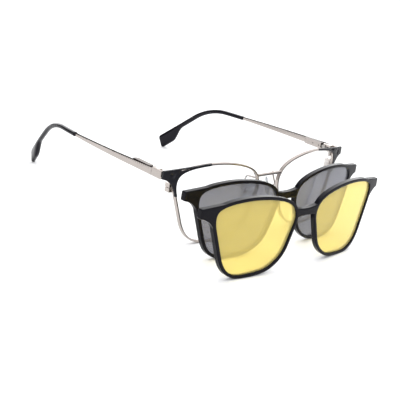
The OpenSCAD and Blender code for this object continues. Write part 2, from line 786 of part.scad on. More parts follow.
// A point of the pad's own frame, d outwards from the pivot
function from_pad(d) = pad_at
    + d * [cos(pad_lean) * cos(pad_turn), -cos(pad_lean) * sin(pad_turn), sin(pad_lean)];
boss_w = 1.2;
boss_r = 0.8;
boss_out = 0.9;
ear_t = 0.4;
ear_gap = 0.1;
ear_back = 1.6;
wire_root = 0.2;
wire_swell = 0.06;
ear_half_h = 1;
ears_half = boss_w / 2 + ear_gap + ear_t;
pad_head_r = pad_screw_r + 0.25;
pad_head_h = 0.25;

// A round wire between two points, with a slightly fuller end where it is bent or soldered
module wire(a, b) {
    d = b - a;
    translate(a) rotate([0, acos(d.z / norm(d)), atan2(d.y, d.x)]) cylinder(r = wire_r, h = norm(d));
    translate(b) sphere(r = wire_r + wire_swell);
}

module pad_arm(side) {
    arm_z = at_floor(pad_arm_height);
    root_x = inner_x(rim_outline, arm_z) + rim_w / 2;
    turn_at = [root_x + 1.4, pad_y + 0.6, arm_z - 0.4];
    elbow = [pad_x + 3.6, pad_y + 0.2, pad_at.z + 1.6];
    on(side) color(silver) {
        intersection() {
            wire([root_x, front_y(root_x) + rim_d - 0.6, arm_z], turn_at);
            behind(rim_d);
        }
        wire(turn_at, elbow);
        wire(elbow, from_pad(ear_back + wire_root));
        at_pad() block([ear_back - ear_t, -ears_half, -ear_half_h], [ear_back, ears_half, ear_half_h]);
        at_pad() difference() {
            for (y = [-ears_half, ears_half - ear_t])
                block([-boss_out, y, -ear_half_h], [ear_back, y + ear_t, ear_half_h]);
            rotate([90, 0, 0]) cylinder(r = pad_screw_r + screw_fit, h = 4 * ears_half, center = true);
        }
    }
}

module pad_screw(side) {
    on(side) color(silver) at_pad() rotate([90, 0, 0]) union() {
        cylinder(r = pad_screw_r, h = 2 * ears_half, center = true);
        translate([0, 0, ears_half]) cylinder(r = pad_head_r, h = pad_head_h);
    }
}

module nose_pad(side) {
    steps = 32;
    taper = 0.12;
    dome_r = 24;
    stem = 0.35;
    face = -boss_out - stem;
    oval = [for (k = [0:steps - 1]) let (a = 360 * k / steps)
        [pad_l / 2 * cos(a), pad_w / 2 * sin(a) * (1 + taper * cos(a))]];
    on(side) color([0.9, 0.92, 0.93, 0.6]) at_pad() difference() {
        union() {
            intersection() {
                translate([face, 0, 0]) rotate([0, -90, 0]) linear_extrude(height = pad_t) polygon(oval);
                translate([face - pad_t + dome_r, 0, 0]) sphere(r = dome_r, $fn = 96);
            }
            block([face - stem, -boss_w / 2, -boss_r], [0, boss_w / 2, boss_r]);
            rotate([90, 0, 0]) cylinder(r = boss_r, h = boss_w, center = true);
        }
        rotate([90, 0, 0]) cylinder(r = pad_screw_r + pad_fit, h = 2 * boss_w, center = true);
    }
}

// Clip-on frames share one design, drawn with the middle of the bridge's front at x = 0, y = 0
module clip_bridge() {
    top = clip_bridge_z;
    bottom = top - clip_bridge_h;
    reach = inner_x(clip_opening, bottom) + 2;
    flat = 3.5;
    rise = 1;
    arch = 3;
    steps = 8;
    prism(concat([[reach, top + rise], [flat, top], [-flat, top], [-reach, top + rise]],
        [for (k = [-steps:steps]) let (x = reach * k / steps) [x, bottom - arch * pow(x / reach, 4)]]));
}

module at_clip_magnet(depth) {
    translate([0, 0, -dock_lift]) at_magnet(depth) children();
}

module clip_frame() {
    brow_from = clip_centre.x + brow_end;
    end_lap = 0.3;
    root = grow(clip_opening, clip_rim - end_lap);
    color(black) difference() {
        intersection() {
            union() {
                for (side = [right, left]) on(side) {
                    prism(clip_outline);
                    prism(end_view(root, brow_from, clip_x, clip_top, clip_end_h, clip_low));
                }
                clip_bridge();
            }
            layer(0, clip_d);
        }
        for (side = [right, left]) on(side) {
            prism(clip_opening);
            intersection() {
                prism(grow(clip_opening, groove));
                layer(clip_lens_in - lens_fit, clip_lens_t + 2 * lens_fit);
            }
            at_clip_magnet(clip_d + 1) cylinder(r = magnet_r + magnet_fit, h = magnet_t + 1);
        }
    }
}

module clip_lens(side, tint) {
    on(side) color(tint) intersection() {
        prism(grow(clip_opening, groove - lens_fit));
        layer(clip_lens_in, clip_lens_t);
    }
}

module clip_magnet(side) {
    on(side) color(silver) at_clip_magnet(clip_d) cylinder(r = magnet_r, h = magnet_t);
}

module rim_right() { rim(right); }
module rim_left() { rim(left); }
module lens_right() { lens(right); }
module lens_left() { lens(left); }
module corner_trim_right() { corner_trim(right); }
module corner_trim_left() { corner_trim(left); }
module frame_magnet_right() { frame_magnet(right); }
module frame_magnet_left() { frame_magnet(left); }
module closing_block_right() { closing_block(right); }
module closing_block_left() { closing_block(left); }
module closing_screw_right() { closing_screw(right); }
module closing_screw_left() { closing_screw(left); }
module end_piece_right() { end_piece(right); }
module end_piece_left() { end_piece(left); }
module hinge_leaf_right() { hinge_leaf(right); }
module hinge_leaf_left() { hinge_leaf(left); }
module hinge_screw_right() { hinge_screw(right); }
module hinge_screw_left() { hinge_screw(left); }
module pad_arm_right() { pad_arm(right); }
module pad_arm_left() { pad_arm(left); }
module pad_screw_right() { pad_screw(right); }
module pad_screw_left() { pad_screw(left); }
module nose_pad_right() { nose_pad(right); }
module nose_pad_left() { nose_pad(left); }
module plunger_right() { plunger(right); }
module plunger_left() { plunger(left); }
module spring_right() { spring(right); }
module spring_left() { spring(left); }
module bushing_right() { bushing(right); }
module bushing_left() { bushing(left); }
module bushing_screw_right() { bushing_screw(right); }
module bushing_screw_left() { bushing_screw(left); }
module spring_box_right() { spring_box(right); }
module spring_box_left() { spring_box(left); }
module temple_right() { temple(right); }
module temple_left() { temple(left); }
module temple_tip_right() { temple_tip(right); }
module temple_tip_left() { temple_tip(left); }
module grey_clip_frame() { translate(grey_at) clip_frame(); }
module grey_clip_lens_right() { translate(grey_at) clip_lens(right, grey_tint); }
module grey_clip_lens_left() { translate(grey_at) clip_lens(left, grey_tint); }
module grey_clip_magnet_right() { translate(grey_at) clip_magnet(right); }
module grey_clip_magnet_left() { translate(grey_at) clip_magnet(left); }
module yellow_clip_frame() { translate(yellow_at) clip_frame(); }
module yellow_clip_lens_right() { translate(yellow_at) clip_lens(right, yellow_tint); }
module yellow_clip_lens_left() { translate(yellow_at) clip_lens(left, yellow_tint); }
module yellow_clip_magnet_right() { translate(yellow_at) clip_magnet(right); }
module yellow_clip_magnet_left() { translate(yellow_at) clip_magnet(left); }

rim_right();
rim_left();
lens_right();
lens_left();
bridge();
corner_trim_right();
corner_trim_left();
frame_magnet_right();
frame_magnet_left();
closing_block_right();
closing_block_left();
closing_screw_right();
closing_screw_left();
end_piece_right();
end_piece_left();
hinge_leaf_right();
hinge_leaf_left();
hinge_screw_right();
hinge_screw_left();
pad_arm_right();
pad_arm_left();
pad_screw_right();
pad_screw_left();
nose_pad_right();
nose_pad_left();
plunger_right();
plunger_left();
spring_right();
spring_left();
bushing_right();
bushing_left();
bushing_screw_right();
bushing_screw_left();
spring_box_right();
spring_box_left();
temple_right();
temple_left();
temple_tip_right();
temple_tip_left();
grey_clip_frame();
grey_clip_lens_right();
grey_clip_lens_left();
grey_clip_magnet_right();
grey_clip_magnet_left();
yellow_clip_frame();
yellow_clip_lens_right();
yellow_clip_lens_left();
yellow_clip_magnet_right();
yellow_clip_magnet_left();
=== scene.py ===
# %% [markdown]
# # Cat eye eyeglasses with two clip-on frames
# A thin metal front with black winged corners stands on its lower edge and its two temple tips.
# Two black clip-on frames, one with grey lenses and one with yellow ones, stand before it in a row.
# The construction comes in as a fixed frame. This lesson gives it the shapes and finishes that show:
# rolled eyewires, plates with soft edges, polished lenses, bent wires and the small screws.

# %% Load the frame
import json
import math

import bmesh
import bpy
import numpy as np
from mathutils import Matrix, Vector
from mathutils.geometry import delaunay_2d_cdt


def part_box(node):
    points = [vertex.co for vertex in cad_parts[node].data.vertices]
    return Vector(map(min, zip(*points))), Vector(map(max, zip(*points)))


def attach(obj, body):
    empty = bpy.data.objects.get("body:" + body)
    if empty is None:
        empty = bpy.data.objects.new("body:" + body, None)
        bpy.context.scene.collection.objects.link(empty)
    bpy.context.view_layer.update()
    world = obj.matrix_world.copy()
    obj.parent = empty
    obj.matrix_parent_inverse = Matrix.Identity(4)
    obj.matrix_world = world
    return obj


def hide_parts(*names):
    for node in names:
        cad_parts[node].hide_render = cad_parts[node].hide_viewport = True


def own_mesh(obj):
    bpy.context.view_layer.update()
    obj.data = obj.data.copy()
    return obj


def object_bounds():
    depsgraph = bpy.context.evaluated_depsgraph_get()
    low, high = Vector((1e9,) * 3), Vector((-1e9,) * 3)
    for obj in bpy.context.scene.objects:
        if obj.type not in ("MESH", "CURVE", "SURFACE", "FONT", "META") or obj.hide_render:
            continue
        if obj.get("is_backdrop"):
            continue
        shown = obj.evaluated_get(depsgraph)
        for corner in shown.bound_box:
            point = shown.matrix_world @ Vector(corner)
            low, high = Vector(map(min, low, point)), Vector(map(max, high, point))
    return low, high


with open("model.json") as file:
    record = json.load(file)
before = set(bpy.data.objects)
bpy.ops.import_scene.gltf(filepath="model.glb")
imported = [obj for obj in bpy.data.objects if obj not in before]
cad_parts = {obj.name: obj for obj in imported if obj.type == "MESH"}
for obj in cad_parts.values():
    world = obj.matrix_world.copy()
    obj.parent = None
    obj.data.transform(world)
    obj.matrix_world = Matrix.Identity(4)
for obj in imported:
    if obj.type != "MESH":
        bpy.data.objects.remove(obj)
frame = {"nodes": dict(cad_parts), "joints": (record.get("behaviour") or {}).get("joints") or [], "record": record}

cad_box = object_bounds()
nodes = frame["nodes"]
MM = 0.001
SIDES = {"left": 1, "right": -1}
floor_z = cad_box[0][2]
print("frame:", len(nodes), "nodes, floor at", round(floor_z / MM, 2), "mm")


# %% [markdown]
# ## The camera
# The photograph looks along the row from the wearer's right, a little from above, and the camera is
# tipped about its own axis. Position, turn, tilt and roll were found by matching the outlines of the
# front and both clip-ons, so they are plain numbers here. A long lens keeps the row nearly parallel.

# %% Place the camera
CAMERA_AT = Vector((-362.83, -319.9, 146.16)) * MM
CAMERA_TURN = math.radians(-44.22)
CAMERA_TILT = math.radians(19.10)
CAMERA_ROLL = math.radians(7.88)
CAMERA_LENS = 81.03

camera = bpy.data.objects.new("camera", bpy.data.cameras.new("camera"))
bpy.context.scene.collection.objects.link(camera)
camera.data.lens = CAMERA_LENS
camera.data.clip_start = 0.01
camera.matrix_world = (Matrix.Translation(CAMERA_AT) @ Matrix.Rotation(CAMERA_TURN, 4, "Z")
                       @ Matrix.Rotation(math.radians(90) - CAMERA_TILT, 4, "X")
                       @ Matrix.Rotation(CAMERA_ROLL, 4, "Z"))
bpy.context.scene.camera = camera
print("camera looks along", [round(v, 3) for v in camera.matrix_world.to_3x3() @ Vector((0, 0, -1))])


# %% [markdown]
# ## A studio of white surfaces
# Spectacles are photographed on a bright sweep: the floor burns out to white and only a thin shadow
# stays where a rim touches it. Large soft panels do that better than small lamps. One hangs above,
# one stands far behind and gives the top edges of the frames their grey sheen, and one fills the
# lenses from the camera's side. The sky is dim, but a low camera that looks past the paper sees white.

# %% Floor, panels and sky
FLOOR_REACH = 1.2
MIDDLE = (0.0, 0.04, 0.0)


def add_floor():
    mesh = bpy.data.meshes.new("studio_floor")
    corners = [(-FLOOR_REACH, -FLOOR_REACH, floor_z), (FLOOR_REACH, -FLOOR_REACH, floor_z),
               (FLOOR_REACH, FLOOR_REACH, floor_z), (-FLOOR_REACH, FLOOR_REACH, floor_z)]
    mesh.from_pydata(corners, [], [(0, 1, 2, 3)])
    floor = bpy.data.objects.new("studio_floor", mesh)
    bpy.context.scene.collection.objects.link(floor)
    paint = bpy.data.materials.new("floor_paper")
    paint.use_nodes = True
    shader = paint.node_tree.nodes["Principled BSDF"]
    shader.inputs["Base Color"].default_value = (0.97, 0.97, 0.97, 1)
    shader.inputs["Roughness"].default_value = 0.9
    shader.inputs["Specular IOR Level"].default_value = 0.1
    mesh.materials.append(paint)
    floor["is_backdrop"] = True


def add_panel(name, place, width, height, watts):
    """A soft lamp of this size, in metres, that faces the middle of the row."""
    light = bpy.data.lights.new(name, "AREA")
    light.shape = "RECTANGLE"
    light.size = width
    light.size_y = height
    light.energy = watts
    panel = bpy.data.objects.new(name, light)
    bpy.context.scene.collection.objects.link(panel)
    panel.location = place
    panel.rotation_euler = (Vector(MIDDLE) - Vector(place)).to_track_quat("-Z", "Y").to_euler()


def add_sky():
    """A dim sky that lights the set, and that the camera itself sees as a white wall."""
    sky = bpy.data.worlds.new("studio_sky")
    sky.use_nodes = True
    tree = sky.node_tree
    dim = tree.nodes["Background"]
    dim.inputs["Color"].default_value = (0.93, 0.96, 1.0, 1)
    dim.inputs["Strength"].default_value = 0.3
    wall = tree.nodes.new("ShaderNodeBackground")
    wall.inputs["Color"].default_value = (1, 1, 1, 1)
    wall.inputs["Strength"].default_value = 1.1
    path = tree.nodes.new("ShaderNodeLightPath")
    either = tree.nodes.new("ShaderNodeMixShader")
    tree.links.new(path.outputs["Is Camera Ray"], either.inputs["Fac"])
    tree.links.new(dim.outputs["Background"], either.inputs[1])
    tree.links.new(wall.outputs["Background"], either.inputs[2])
    tree.links.new(either.outputs["Shader"], tree.nodes["World Output"].inputs["Surface"])
    bpy.context.scene.world = sky


add_floor()
add_panel("panel_above", (0.1, 0.1, 1.5), width=2.4, height=2.4, watts=30)
add_panel("panel_behind", (1.5, 1.6, 1.0), width=4.0, height=1.7, watts=62)
add_panel("panel_camera_side", (-1.0, -1.3, 1.1), width=1.4, height=1.0, watts=16)
add_sky()
bpy.context.scene.view_settings.view_transform = "Standard"


# %% [markdown]
# ## Effects that several finishes share
# Three effects come back in many finishes, so each is a node group with its own inputs. Grain is the
# fine unevenness of moulded and lacquered surfaces. Brushing is the same noise pulled long in one
# direction, as a polishing wheel leaves it. Handling is the broad, faint film of fingers, which
# shows as a change of gloss and never as dirt.

# %% Node helpers and the shared groups
def group_sockets(group, inputs, outputs):
    for name, value in inputs.items():
        socket = group.interface.new_socket(name, in_out="INPUT", socket_type="NodeSocketFloat")
        socket.default_value = value
    for name in outputs:
        group.interface.new_socket(name, in_out="OUTPUT", socket_type="NodeSocketFloat")


def noise_group(name, stretch, detail, inputs):
    """A noise on object coordinates, as a height and as a roughness that swings round a middle."""
    group = bpy.data.node_groups.new(name, "ShaderNodeTree")
    group_sockets(group, inputs, ["Height", "Roughness"])
    tree = group.nodes
    start = tree.new("NodeGroupInput")
    end = tree.new("NodeGroupOutput")
    place = tree.new("ShaderNodeTexCoord")
    mapping = tree.new("ShaderNodeMapping")
    mapping.inputs["Scale"].default_value = stretch
    noise = tree.new("ShaderNodeTexNoise")
    noise.inputs["Detail"].default_value = detail
    swing = tree.new("ShaderNodeMath")
    swing.operation = "MULTIPLY_ADD"
    lift = tree.new("ShaderNodeMath")
    lift.operation = "SUBTRACT"
    lift.inputs[1].default_value = 0.5
    link = group.links.new
    link(place.outputs["Object"], mapping.inputs["Vector"])
    link(mapping.outputs["Vector"], noise.inputs["Vector"])
    link(start.outputs["Scale"], noise.inputs["Scale"])
    link(noise.outputs["Fac"], lift.inputs[0])
    link(lift.outputs[0], swing.inputs[0])
    link(start.outputs["Swing"], swing.inputs[1])
    link(start.outputs["Middle"], swing.inputs[2])
    link(noise.outputs["Fac"], end.inputs["Height"])
    link(swing.outputs[0], end.inputs["Roughness"])
    return group


GRAIN = noise_group("grain", (1, 1, 1), 3, {"Scale": 4000.0, "Swing": 0.1, "Middle": 0.4})
BRUSHING = noise_group("brushing", (1, 0.06, 1), 4, {"Scale": 3000.0, "Swing": 0.1, "Middle": 0.3})
HANDLING = noise_group("handling", (1, 1, 1), 2, {"Scale": 90.0, "Swing": 0.1, "Middle": 0.0})
print("groups:", [group.name for group in (GRAIN, BRUSHING, HANDLING)])


# %% [markdown]
# ## One recipe for every finish
# All finishes are built the same way: a fine effect gives the bump and the roughness, and the slow
# noise of the handling film changes the roughness and shifts the colour a little, because no lacquer
# or alloy has exactly one colour. What is the same all over stays on the shader's sockets.

# %% Build a finish
RELIEF_HEIGHT = 0.02 * MM


def finish(name, colour, shade, roughness, swing, bump, scale, fine=GRAIN, **sockets):
    """colour drifts to shade; fine gives bump and roughness; other sockets keep one value."""
    paint = bpy.data.materials.new(name)
    paint.use_nodes = True
    tree = paint.node_tree
    shader = tree.nodes["Principled BSDF"]
    for socket, value in sockets.items():
        shader.inputs[socket.replace("_", " ")].default_value = value
    detail = tree.nodes.new("ShaderNodeGroup")
    detail.node_tree = fine
    detail.inputs["Scale"].default_value = scale
    detail.inputs["Swing"].default_value = swing
    detail.inputs["Middle"].default_value = roughness
    film = tree.nodes.new("ShaderNodeGroup")
    film.node_tree = HANDLING
    film.inputs["Swing"].default_value = swing
    total = tree.nodes.new("ShaderNodeMath")
    total.operation = "ADD"
    total.use_clamp = True
    blend = tree.nodes.new("ShaderNodeMix")
    blend.data_type = "RGBA"
    blend.inputs["A"].default_value = (*colour, 1)
    blend.inputs["B"].default_value = (*shade, 1)
    relief = tree.nodes.new("ShaderNodeBump")
    relief.inputs["Strength"].default_value = bump
    relief.inputs["Distance"].default_value = RELIEF_HEIGHT
    link = tree.links.new
    link(detail.outputs["Roughness"], total.inputs[0])
    link(film.outputs["Roughness"], total.inputs[1])
    link(total.outputs[0], shader.inputs["Roughness"])
    link(film.outputs["Height"], blend.inputs["Factor"])
    link(blend.outputs["Result"], shader.inputs["Base Color"])
    link(detail.outputs["Height"], relief.inputs["Height"])
    link(relief.outputs["Normal"], shader.inputs["Normal"])
    return paint


BLUISH = (0.95, 0.92, 1.0, 1)
PAINTS = {
    "frame_metal": finish("pale_gold_steel", (0.51, 0.462, 0.432), (0.44, 0.40, 0.375), roughness=0.2,
                          swing=0.10, bump=0.15, scale=3000.0, fine=BRUSHING, Metallic=1.0),
    "screw_steel": finish("turned_steel", (0.48, 0.465, 0.45), (0.40, 0.39, 0.38), roughness=0.26,
                          swing=0.12, bump=0.2, scale=6000.0, fine=BRUSHING, Metallic=1.0),
    "magnet_metal": finish("nickel_plate", (0.62, 0.61, 0.58), (0.54, 0.53, 0.51), roughness=0.2,
                           swing=0.1, bump=0.1, scale=4000.0, Metallic=1.0),
    "black_trim": finish("black_lacquer", (0.019, 0.019, 0.023), (0.024, 0.024, 0.029), roughness=0.26,
                         swing=0.10, bump=0.25, scale=5200.0, Specular_IOR_Level=0.1),
    "black_frame": finish("black_moulded_plastic", (0.005, 0.0048, 0.0068), (0.0078, 0.0075, 0.0098),
                          roughness=0.22, swing=0.10, bump=0.3, scale=4200.0, Specular_IOR_Level=0.1,
                          Specular_Tint=BLUISH),
    "black_tip": finish("black_acetate", (0.003, 0.0027, 0.005), (0.005, 0.0046, 0.0078), roughness=0.13,
                        swing=0.08, bump=0.08, scale=2500.0, Specular_IOR_Level=0.2, Specular_Tint=BLUISH),
    "pad_silicone": finish("clear_silicone", (0.90, 0.93, 0.95), (0.84, 0.88, 0.91), roughness=0.22,
                           swing=0.08, bump=0.1, scale=4000.0, Transmission_Weight=0.8, IOR=1.41),
}
print("finishes:", sorted(PAINTS))


# %% [markdown]
# ## Painted shade and tone on the tops of bright metal
# The upper edge of each temple and of each spring box carries painted shade, a dark line, while its
# side is bright metal, and the tops of eyewires, bridge and end pieces get a painted beige tone. The
# mask is one only where a face looks up, so one finish covers a whole bar: there the colour changes
# to the painted one and the metal share goes down, because bare metal seen at a low angle would shine
# as white as the floor. The bushings' small screws are blackened, so that they show as dark dots on
# the pale boxes.

# %% Paint shade and tone on what looks up
LOOKS_UP_FROM = 0.02
LOOKS_UP_FULLY = 0.25


def with_painted_top_tone(name, top, share):
    """The pale steel, with its faces that look up given a share of painted top colour, which stands for how the
    light falls there.
    """
    paint = finish(name, (0.46, 0.416, 0.39), (0.40, 0.362, 0.34), roughness=0.2, swing=0.10, bump=0.15,
                   scale=3000.0, fine=BRUSHING, Specular_IOR_Level=0.0)
    tree = paint.node_tree
    shader = tree.nodes["Principled BSDF"]
    plain = shader.inputs["Base Color"].links[0].from_socket
    facing = tree.nodes.new("ShaderNodeNewGeometry")
    split = tree.nodes.new("ShaderNodeSeparateXYZ")
    mask = tree.nodes.new("ShaderNodeMapRange")
    mask.inputs["From Min"].default_value = LOOKS_UP_FROM
    mask.inputs["From Max"].default_value = LOOKS_UP_FULLY
    mask.inputs["To Max"].default_value = share
    metal = tree.nodes.new("ShaderNodeMath")
    metal.operation = "SUBTRACT"
    metal.inputs[0].default_value = 1.0
    # The colour mixed in here is painted light: painted shade on temples and spring boxes, a painted beige tone on
    # the other pieces.
    painted_tone = tree.nodes.new("ShaderNodeMix")
    painted_tone.data_type = "RGBA"
    painted_tone.inputs["B"].default_value = (*top, 1)
    tree.links.new(facing.outputs["Normal"], split.inputs["Vector"])
    tree.links.new(split.outputs["Z"], mask.inputs["Value"])
    tree.links.new(mask.outputs["Result"], painted_tone.inputs["Factor"])
    tree.links.new(mask.outputs["Result"], metal.inputs[1])
    tree.links.new(metal.outputs[0], shader.inputs["Metallic"])
    tree.links.new(plain, painted_tone.inputs["A"])
    tree.links.new(painted_tone.outputs["Result"], shader.inputs["Base Color"])
    return paint


# Painted shade on the tops of temples and spring boxes, and a painted beige tone on the tops of eyewires, bridge
# and end pieces.
TEMPLE_PAINT = with_painted_top_tone("temple_steel_painted_top_shade", (0.013, 0.010, 0.009), 1.0)
CASE_PAINT = with_painted_top_tone("case_steel_painted_top_shade", (0.10, 0.09, 0.085), 0.7)
TOP_TONED_PAINT = with_painted_top_tone("steel_with_painted_top_tone", (0.40, 0.355, 0.33), 0.75)
BLACKENED = finish("blackened_steel", (0.035, 0.034, 0.034), (0.05, 0.048, 0.046), roughness=0.35,
                   swing=0.12, bump=0.2, scale=6000.0, fine=BRUSHING, Metallic=1.0)
print("dull tops:", TEMPLE_PAINT.name, CASE_PAINT.name, TOP_TONED_PAINT.name, "and", BLACKENED.name)


# %% [markdown]
# ## Lens finishes
# The clear lenses let nearly all light through and show only a reflection. The tinted ones are
# sheets of coloured film and plastic: part of the light passes, tinted, and part comes back from
# inside as a soft glow, which is why the dark rims behind the yellow lenses look olive and not
# black. Transmission takes the first share and the ordinary diffuse colour the second. A lens is
# thin, so its shadow is let through, or the floor behind it would turn dark.

# %% Build a lens finish
LENS_IOR = 1.25


def lens_finish(name, colour, shade, through, shadow, alpha=1.0):
    """A polished sheet that lets a share through and tints its own shadow."""
    paint = finish(name, colour, shade, roughness=0.004, swing=0.006, bump=0.01, scale=800.0, IOR=LENS_IOR,
                   Transmission_Weight=through, Alpha=alpha)
    tree = paint.node_tree
    shader = tree.nodes["Principled BSDF"]
    clear = tree.nodes.new("ShaderNodeBsdfTransparent")
    clear.inputs["Color"].default_value = (*shadow, 1)
    path = tree.nodes.new("ShaderNodeLightPath")
    either = tree.nodes.new("ShaderNodeMixShader")
    tree.links.new(path.outputs["Is Shadow Ray"], either.inputs["Fac"])
    tree.links.new(shader.outputs["BSDF"], either.inputs[1])
    tree.links.new(clear.outputs["BSDF"], either.inputs[2])
    tree.links.new(either.outputs["Shader"], tree.nodes["Material Output"].inputs["Surface"])
    return paint


PAINTS["clear_lens"] = lens_finish("clear_lens", (0.97, 0.985, 0.99), (0.96, 0.98, 0.985), through=1.0,
                                   shadow=(0.97, 0.97, 0.97), alpha=0.15)
PAINTS["grey_lens"] = lens_finish("grey_lens", (0.262, 0.266, 0.306), (0.252, 0.256, 0.295), through=0.67,
                                  shadow=(0.95, 0.95, 0.95))
PAINTS["yellow_lens"] = lens_finish("yellow_lens", (0.91, 0.775, 0.28), (0.895, 0.76, 0.27), through=0.67,
                                    shadow=(0.98, 0.98, 0.96))
print("lens finishes:", [slot for slot in PAINTS if slot.endswith("lens")])


# %% [markdown]
# ## Reading outlines from the frame
# Nearly every flat piece here is a sheet that was cut out and then bent round the face, so its shape
# is an outline and a thickness. The outline is already in the construction: it is the border of the
# faces that lie at one depth of the bent sheet. Taking it from there, and not from a list of points,
# keeps the dressed piece exactly on the piece it stands for.

# %% The two bent sheets
FRONT_BEND_R = 280 * MM
ARM_T = 1.2 * MM
BOW_START_Y = 38 * MM
BOW_R = 620 * MM
TIP_BOW_R = 260 * MM


class FrontSheet:
    """The sheet that bends round the face: across, up, and depth behind its front."""

    def __init__(self, middle_x, front_y, side=1):
        self.middle, self.front, self.side = middle_x, front_y, side

    def flat(self, p):
        x = (p[0] - self.middle) * self.side
        far = math.hypot(x, FRONT_BEND_R + self.front - p[1])
        return x / MM, p[2] / MM, (FRONT_BEND_R - far) / MM

    def world(self, u, v, w):
        x = u * MM
        y = self.front + FRONT_BEND_R - math.sqrt((FRONT_BEND_R - w * MM) ** 2 - x * x)
        return self.middle + self.side * x, y, v * MM


class TempleSheet:
    """The sheet of a temple, seen from the side: back along it, up, and out from its middle."""

    def __init__(self, side):
        self.side = side
        self.mid_x = max(abs(c[0]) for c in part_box("temple_left")) - ARM_T / 2
        self.tip_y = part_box("temple_tip_left")[0][1]
        self.turn = math.asin((self.tip_y - BOW_START_Y) / BOW_R)
        self.arm_centre = (self.mid_x - BOW_R, BOW_START_Y)
        reach = BOW_R - TIP_BOW_R
        self.tip_centre = (self.arm_centre[0] + reach * math.cos(self.turn),
                           self.arm_centre[1] + reach * math.sin(self.turn))

    def arc(self, y):
        if y > self.tip_y:
            return self.tip_centre, TIP_BOW_R
        return self.arm_centre, BOW_R

    def flat(self, p):
        x = p[0] * self.side
        if p[1] < BOW_START_Y:
            return p[1] / MM, p[2] / MM, (x - self.mid_x) / MM
        centre, radius = self.arc(p[1])
        return p[1] / MM, p[2] / MM, (math.hypot(x - centre[0], p[1] - centre[1]) - radius) / MM

    def world(self, u, v, w):
        y = u * MM
        if y < BOW_START_Y:
            return self.side * (self.mid_x + w * MM), y, v * MM
        centre, radius = self.arc(y)
        x = centre[0] + math.sqrt((radius + w * MM) ** 2 - (y - centre[1]) ** 2)
        return self.side * x, y, v * MM


front_sheets = {name: FrontSheet(0, 0, side) for name, side in SIDES.items()}
temple_sheets = {name: TempleSheet(side) for name, side in SIDES.items()}
print("temple bow turns", round(math.degrees(temple_sheets["left"].turn), 2), "degrees by its tip")


# %% [markdown]
# ## From faces to an outline
# A solid from the construction is loose triangles. Once it is merged, the faces whose corners all lie
# at the wanted depth form one flat region, and an edge that has such a face on one side only is part
# of its border. Walking from edge to edge gives closed outlines: the largest is the outside and
# the others are openings. Tracing them by hand would be slower and could drift from the real part.

# %% Find the border of the faces at one depth
SOLID_MERGE = 0.003 * MM
SLIVER_AREA = 0.001


def face_loops(node, sheet, depth, slack=0.02):
    """Closed outlines, in mm on the sheet, with the material on their left."""
    bm = bmesh.new()
    bm.from_mesh(nodes[node].data)
    bmesh.ops.remove_doubles(bm, verts=bm.verts, dist=SOLID_MERGE)
    flat = {v: sheet.flat(v.co) for v in bm.verts}
    level = {f for f in bm.faces if all(abs(flat[v][2] - depth) < slack for v in f.verts)}
    after = {}
    for face in level:
        for loop in face.loops:
            if not any(other in level for other in loop.edge.link_faces if other is not face):
                after.setdefault(loop.vert, []).append(loop.link_loop_next.vert)
    loops = []
    while after:
        start = next(iter(after))
        loop, here = [], start
        while here in after:
            loop.append(flat[here][:2])
            ways = after[here]
            step = ways.pop()
            if not ways:
                del after[here]
            here = step
        loops.append(np.array(loop))
    bm.free()
    return [one for one in oriented(loops) if len(one) > 2]


def area(loop):
    x, y = loop[:, 0], loop[:, 1]
    return 0.5 * float(np.sum(x * np.roll(y, -1) - y * np.roll(x, -1)))


def oriented(loops):
    """Outer outline first and anticlockwise, holes clockwise."""
    loops = [loop for loop in loops if abs(area(loop)) > SLIVER_AREA]
    loops.sort(key=lambda loop: -abs(area(loop)))
    return [loop if (area(loop) > 0) == (i == 0) else loop[::-1] for i, loop in enumerate(loops)]


lens_loops = face_loops("lens_left", front_sheets["left"], 0.5)
print("points on the left lens's outline:", [len(loop) for loop in lens_loops])


# %% [markdown]
# ## A plate with soft edges
# A cut sheet is tumbled or polished before it is assembled, so its edges are round. A Bevel modifier
# can do that to a clean block, but it stumbles over thin slits and loose triangles. Here the rounding
# is built in: each outline is repeated as a stack of rings that draw in towards both faces, and the
# two faces are filled with small triangles, so that the plate can follow the bend without corners.

# %% Prepare an outline
SHARP = math.radians(25)
NEEDLE = math.radians(140)
ARC_STEP = math.radians(14)
EDGE_SHARE = 0.98
MUCH_LONGER = 3
TINY = 1e-9


def lengths(v):
    return np.maximum(np.linalg.norm(v, axis=1), TINY)[:, None]


def turn_angles(loop):
    into, out = loop - np.roll(loop, 1, 0), np.roll(loop, -1, 0) - loop
    return np.arctan2(into[:, 0] * out[:, 1] - into[:, 1] * out[:, 0], np.sum(into * out, axis=1))


def cleaned(loop, slack=0.003):
    """Drops the points that lie on a straight run between their neighbours."""
    while len(loop) > 4:
        chord = np.roll(loop, -1, 0) - np.roll(loop, 1, 0)
        arm = loop - np.roll(loop, 1, 0)
        off = np.abs(chord[:, 0] * arm[:, 1] - chord[:, 1] * arm[:, 0]) / lengths(chord)[:, 0]
        drop = off < slack
        for i in range(len(drop)):
            if drop[i] and drop[i - 1]:
                drop[i] = False
        if not drop.any():
            break
        loop = loop[~drop]
    return loop


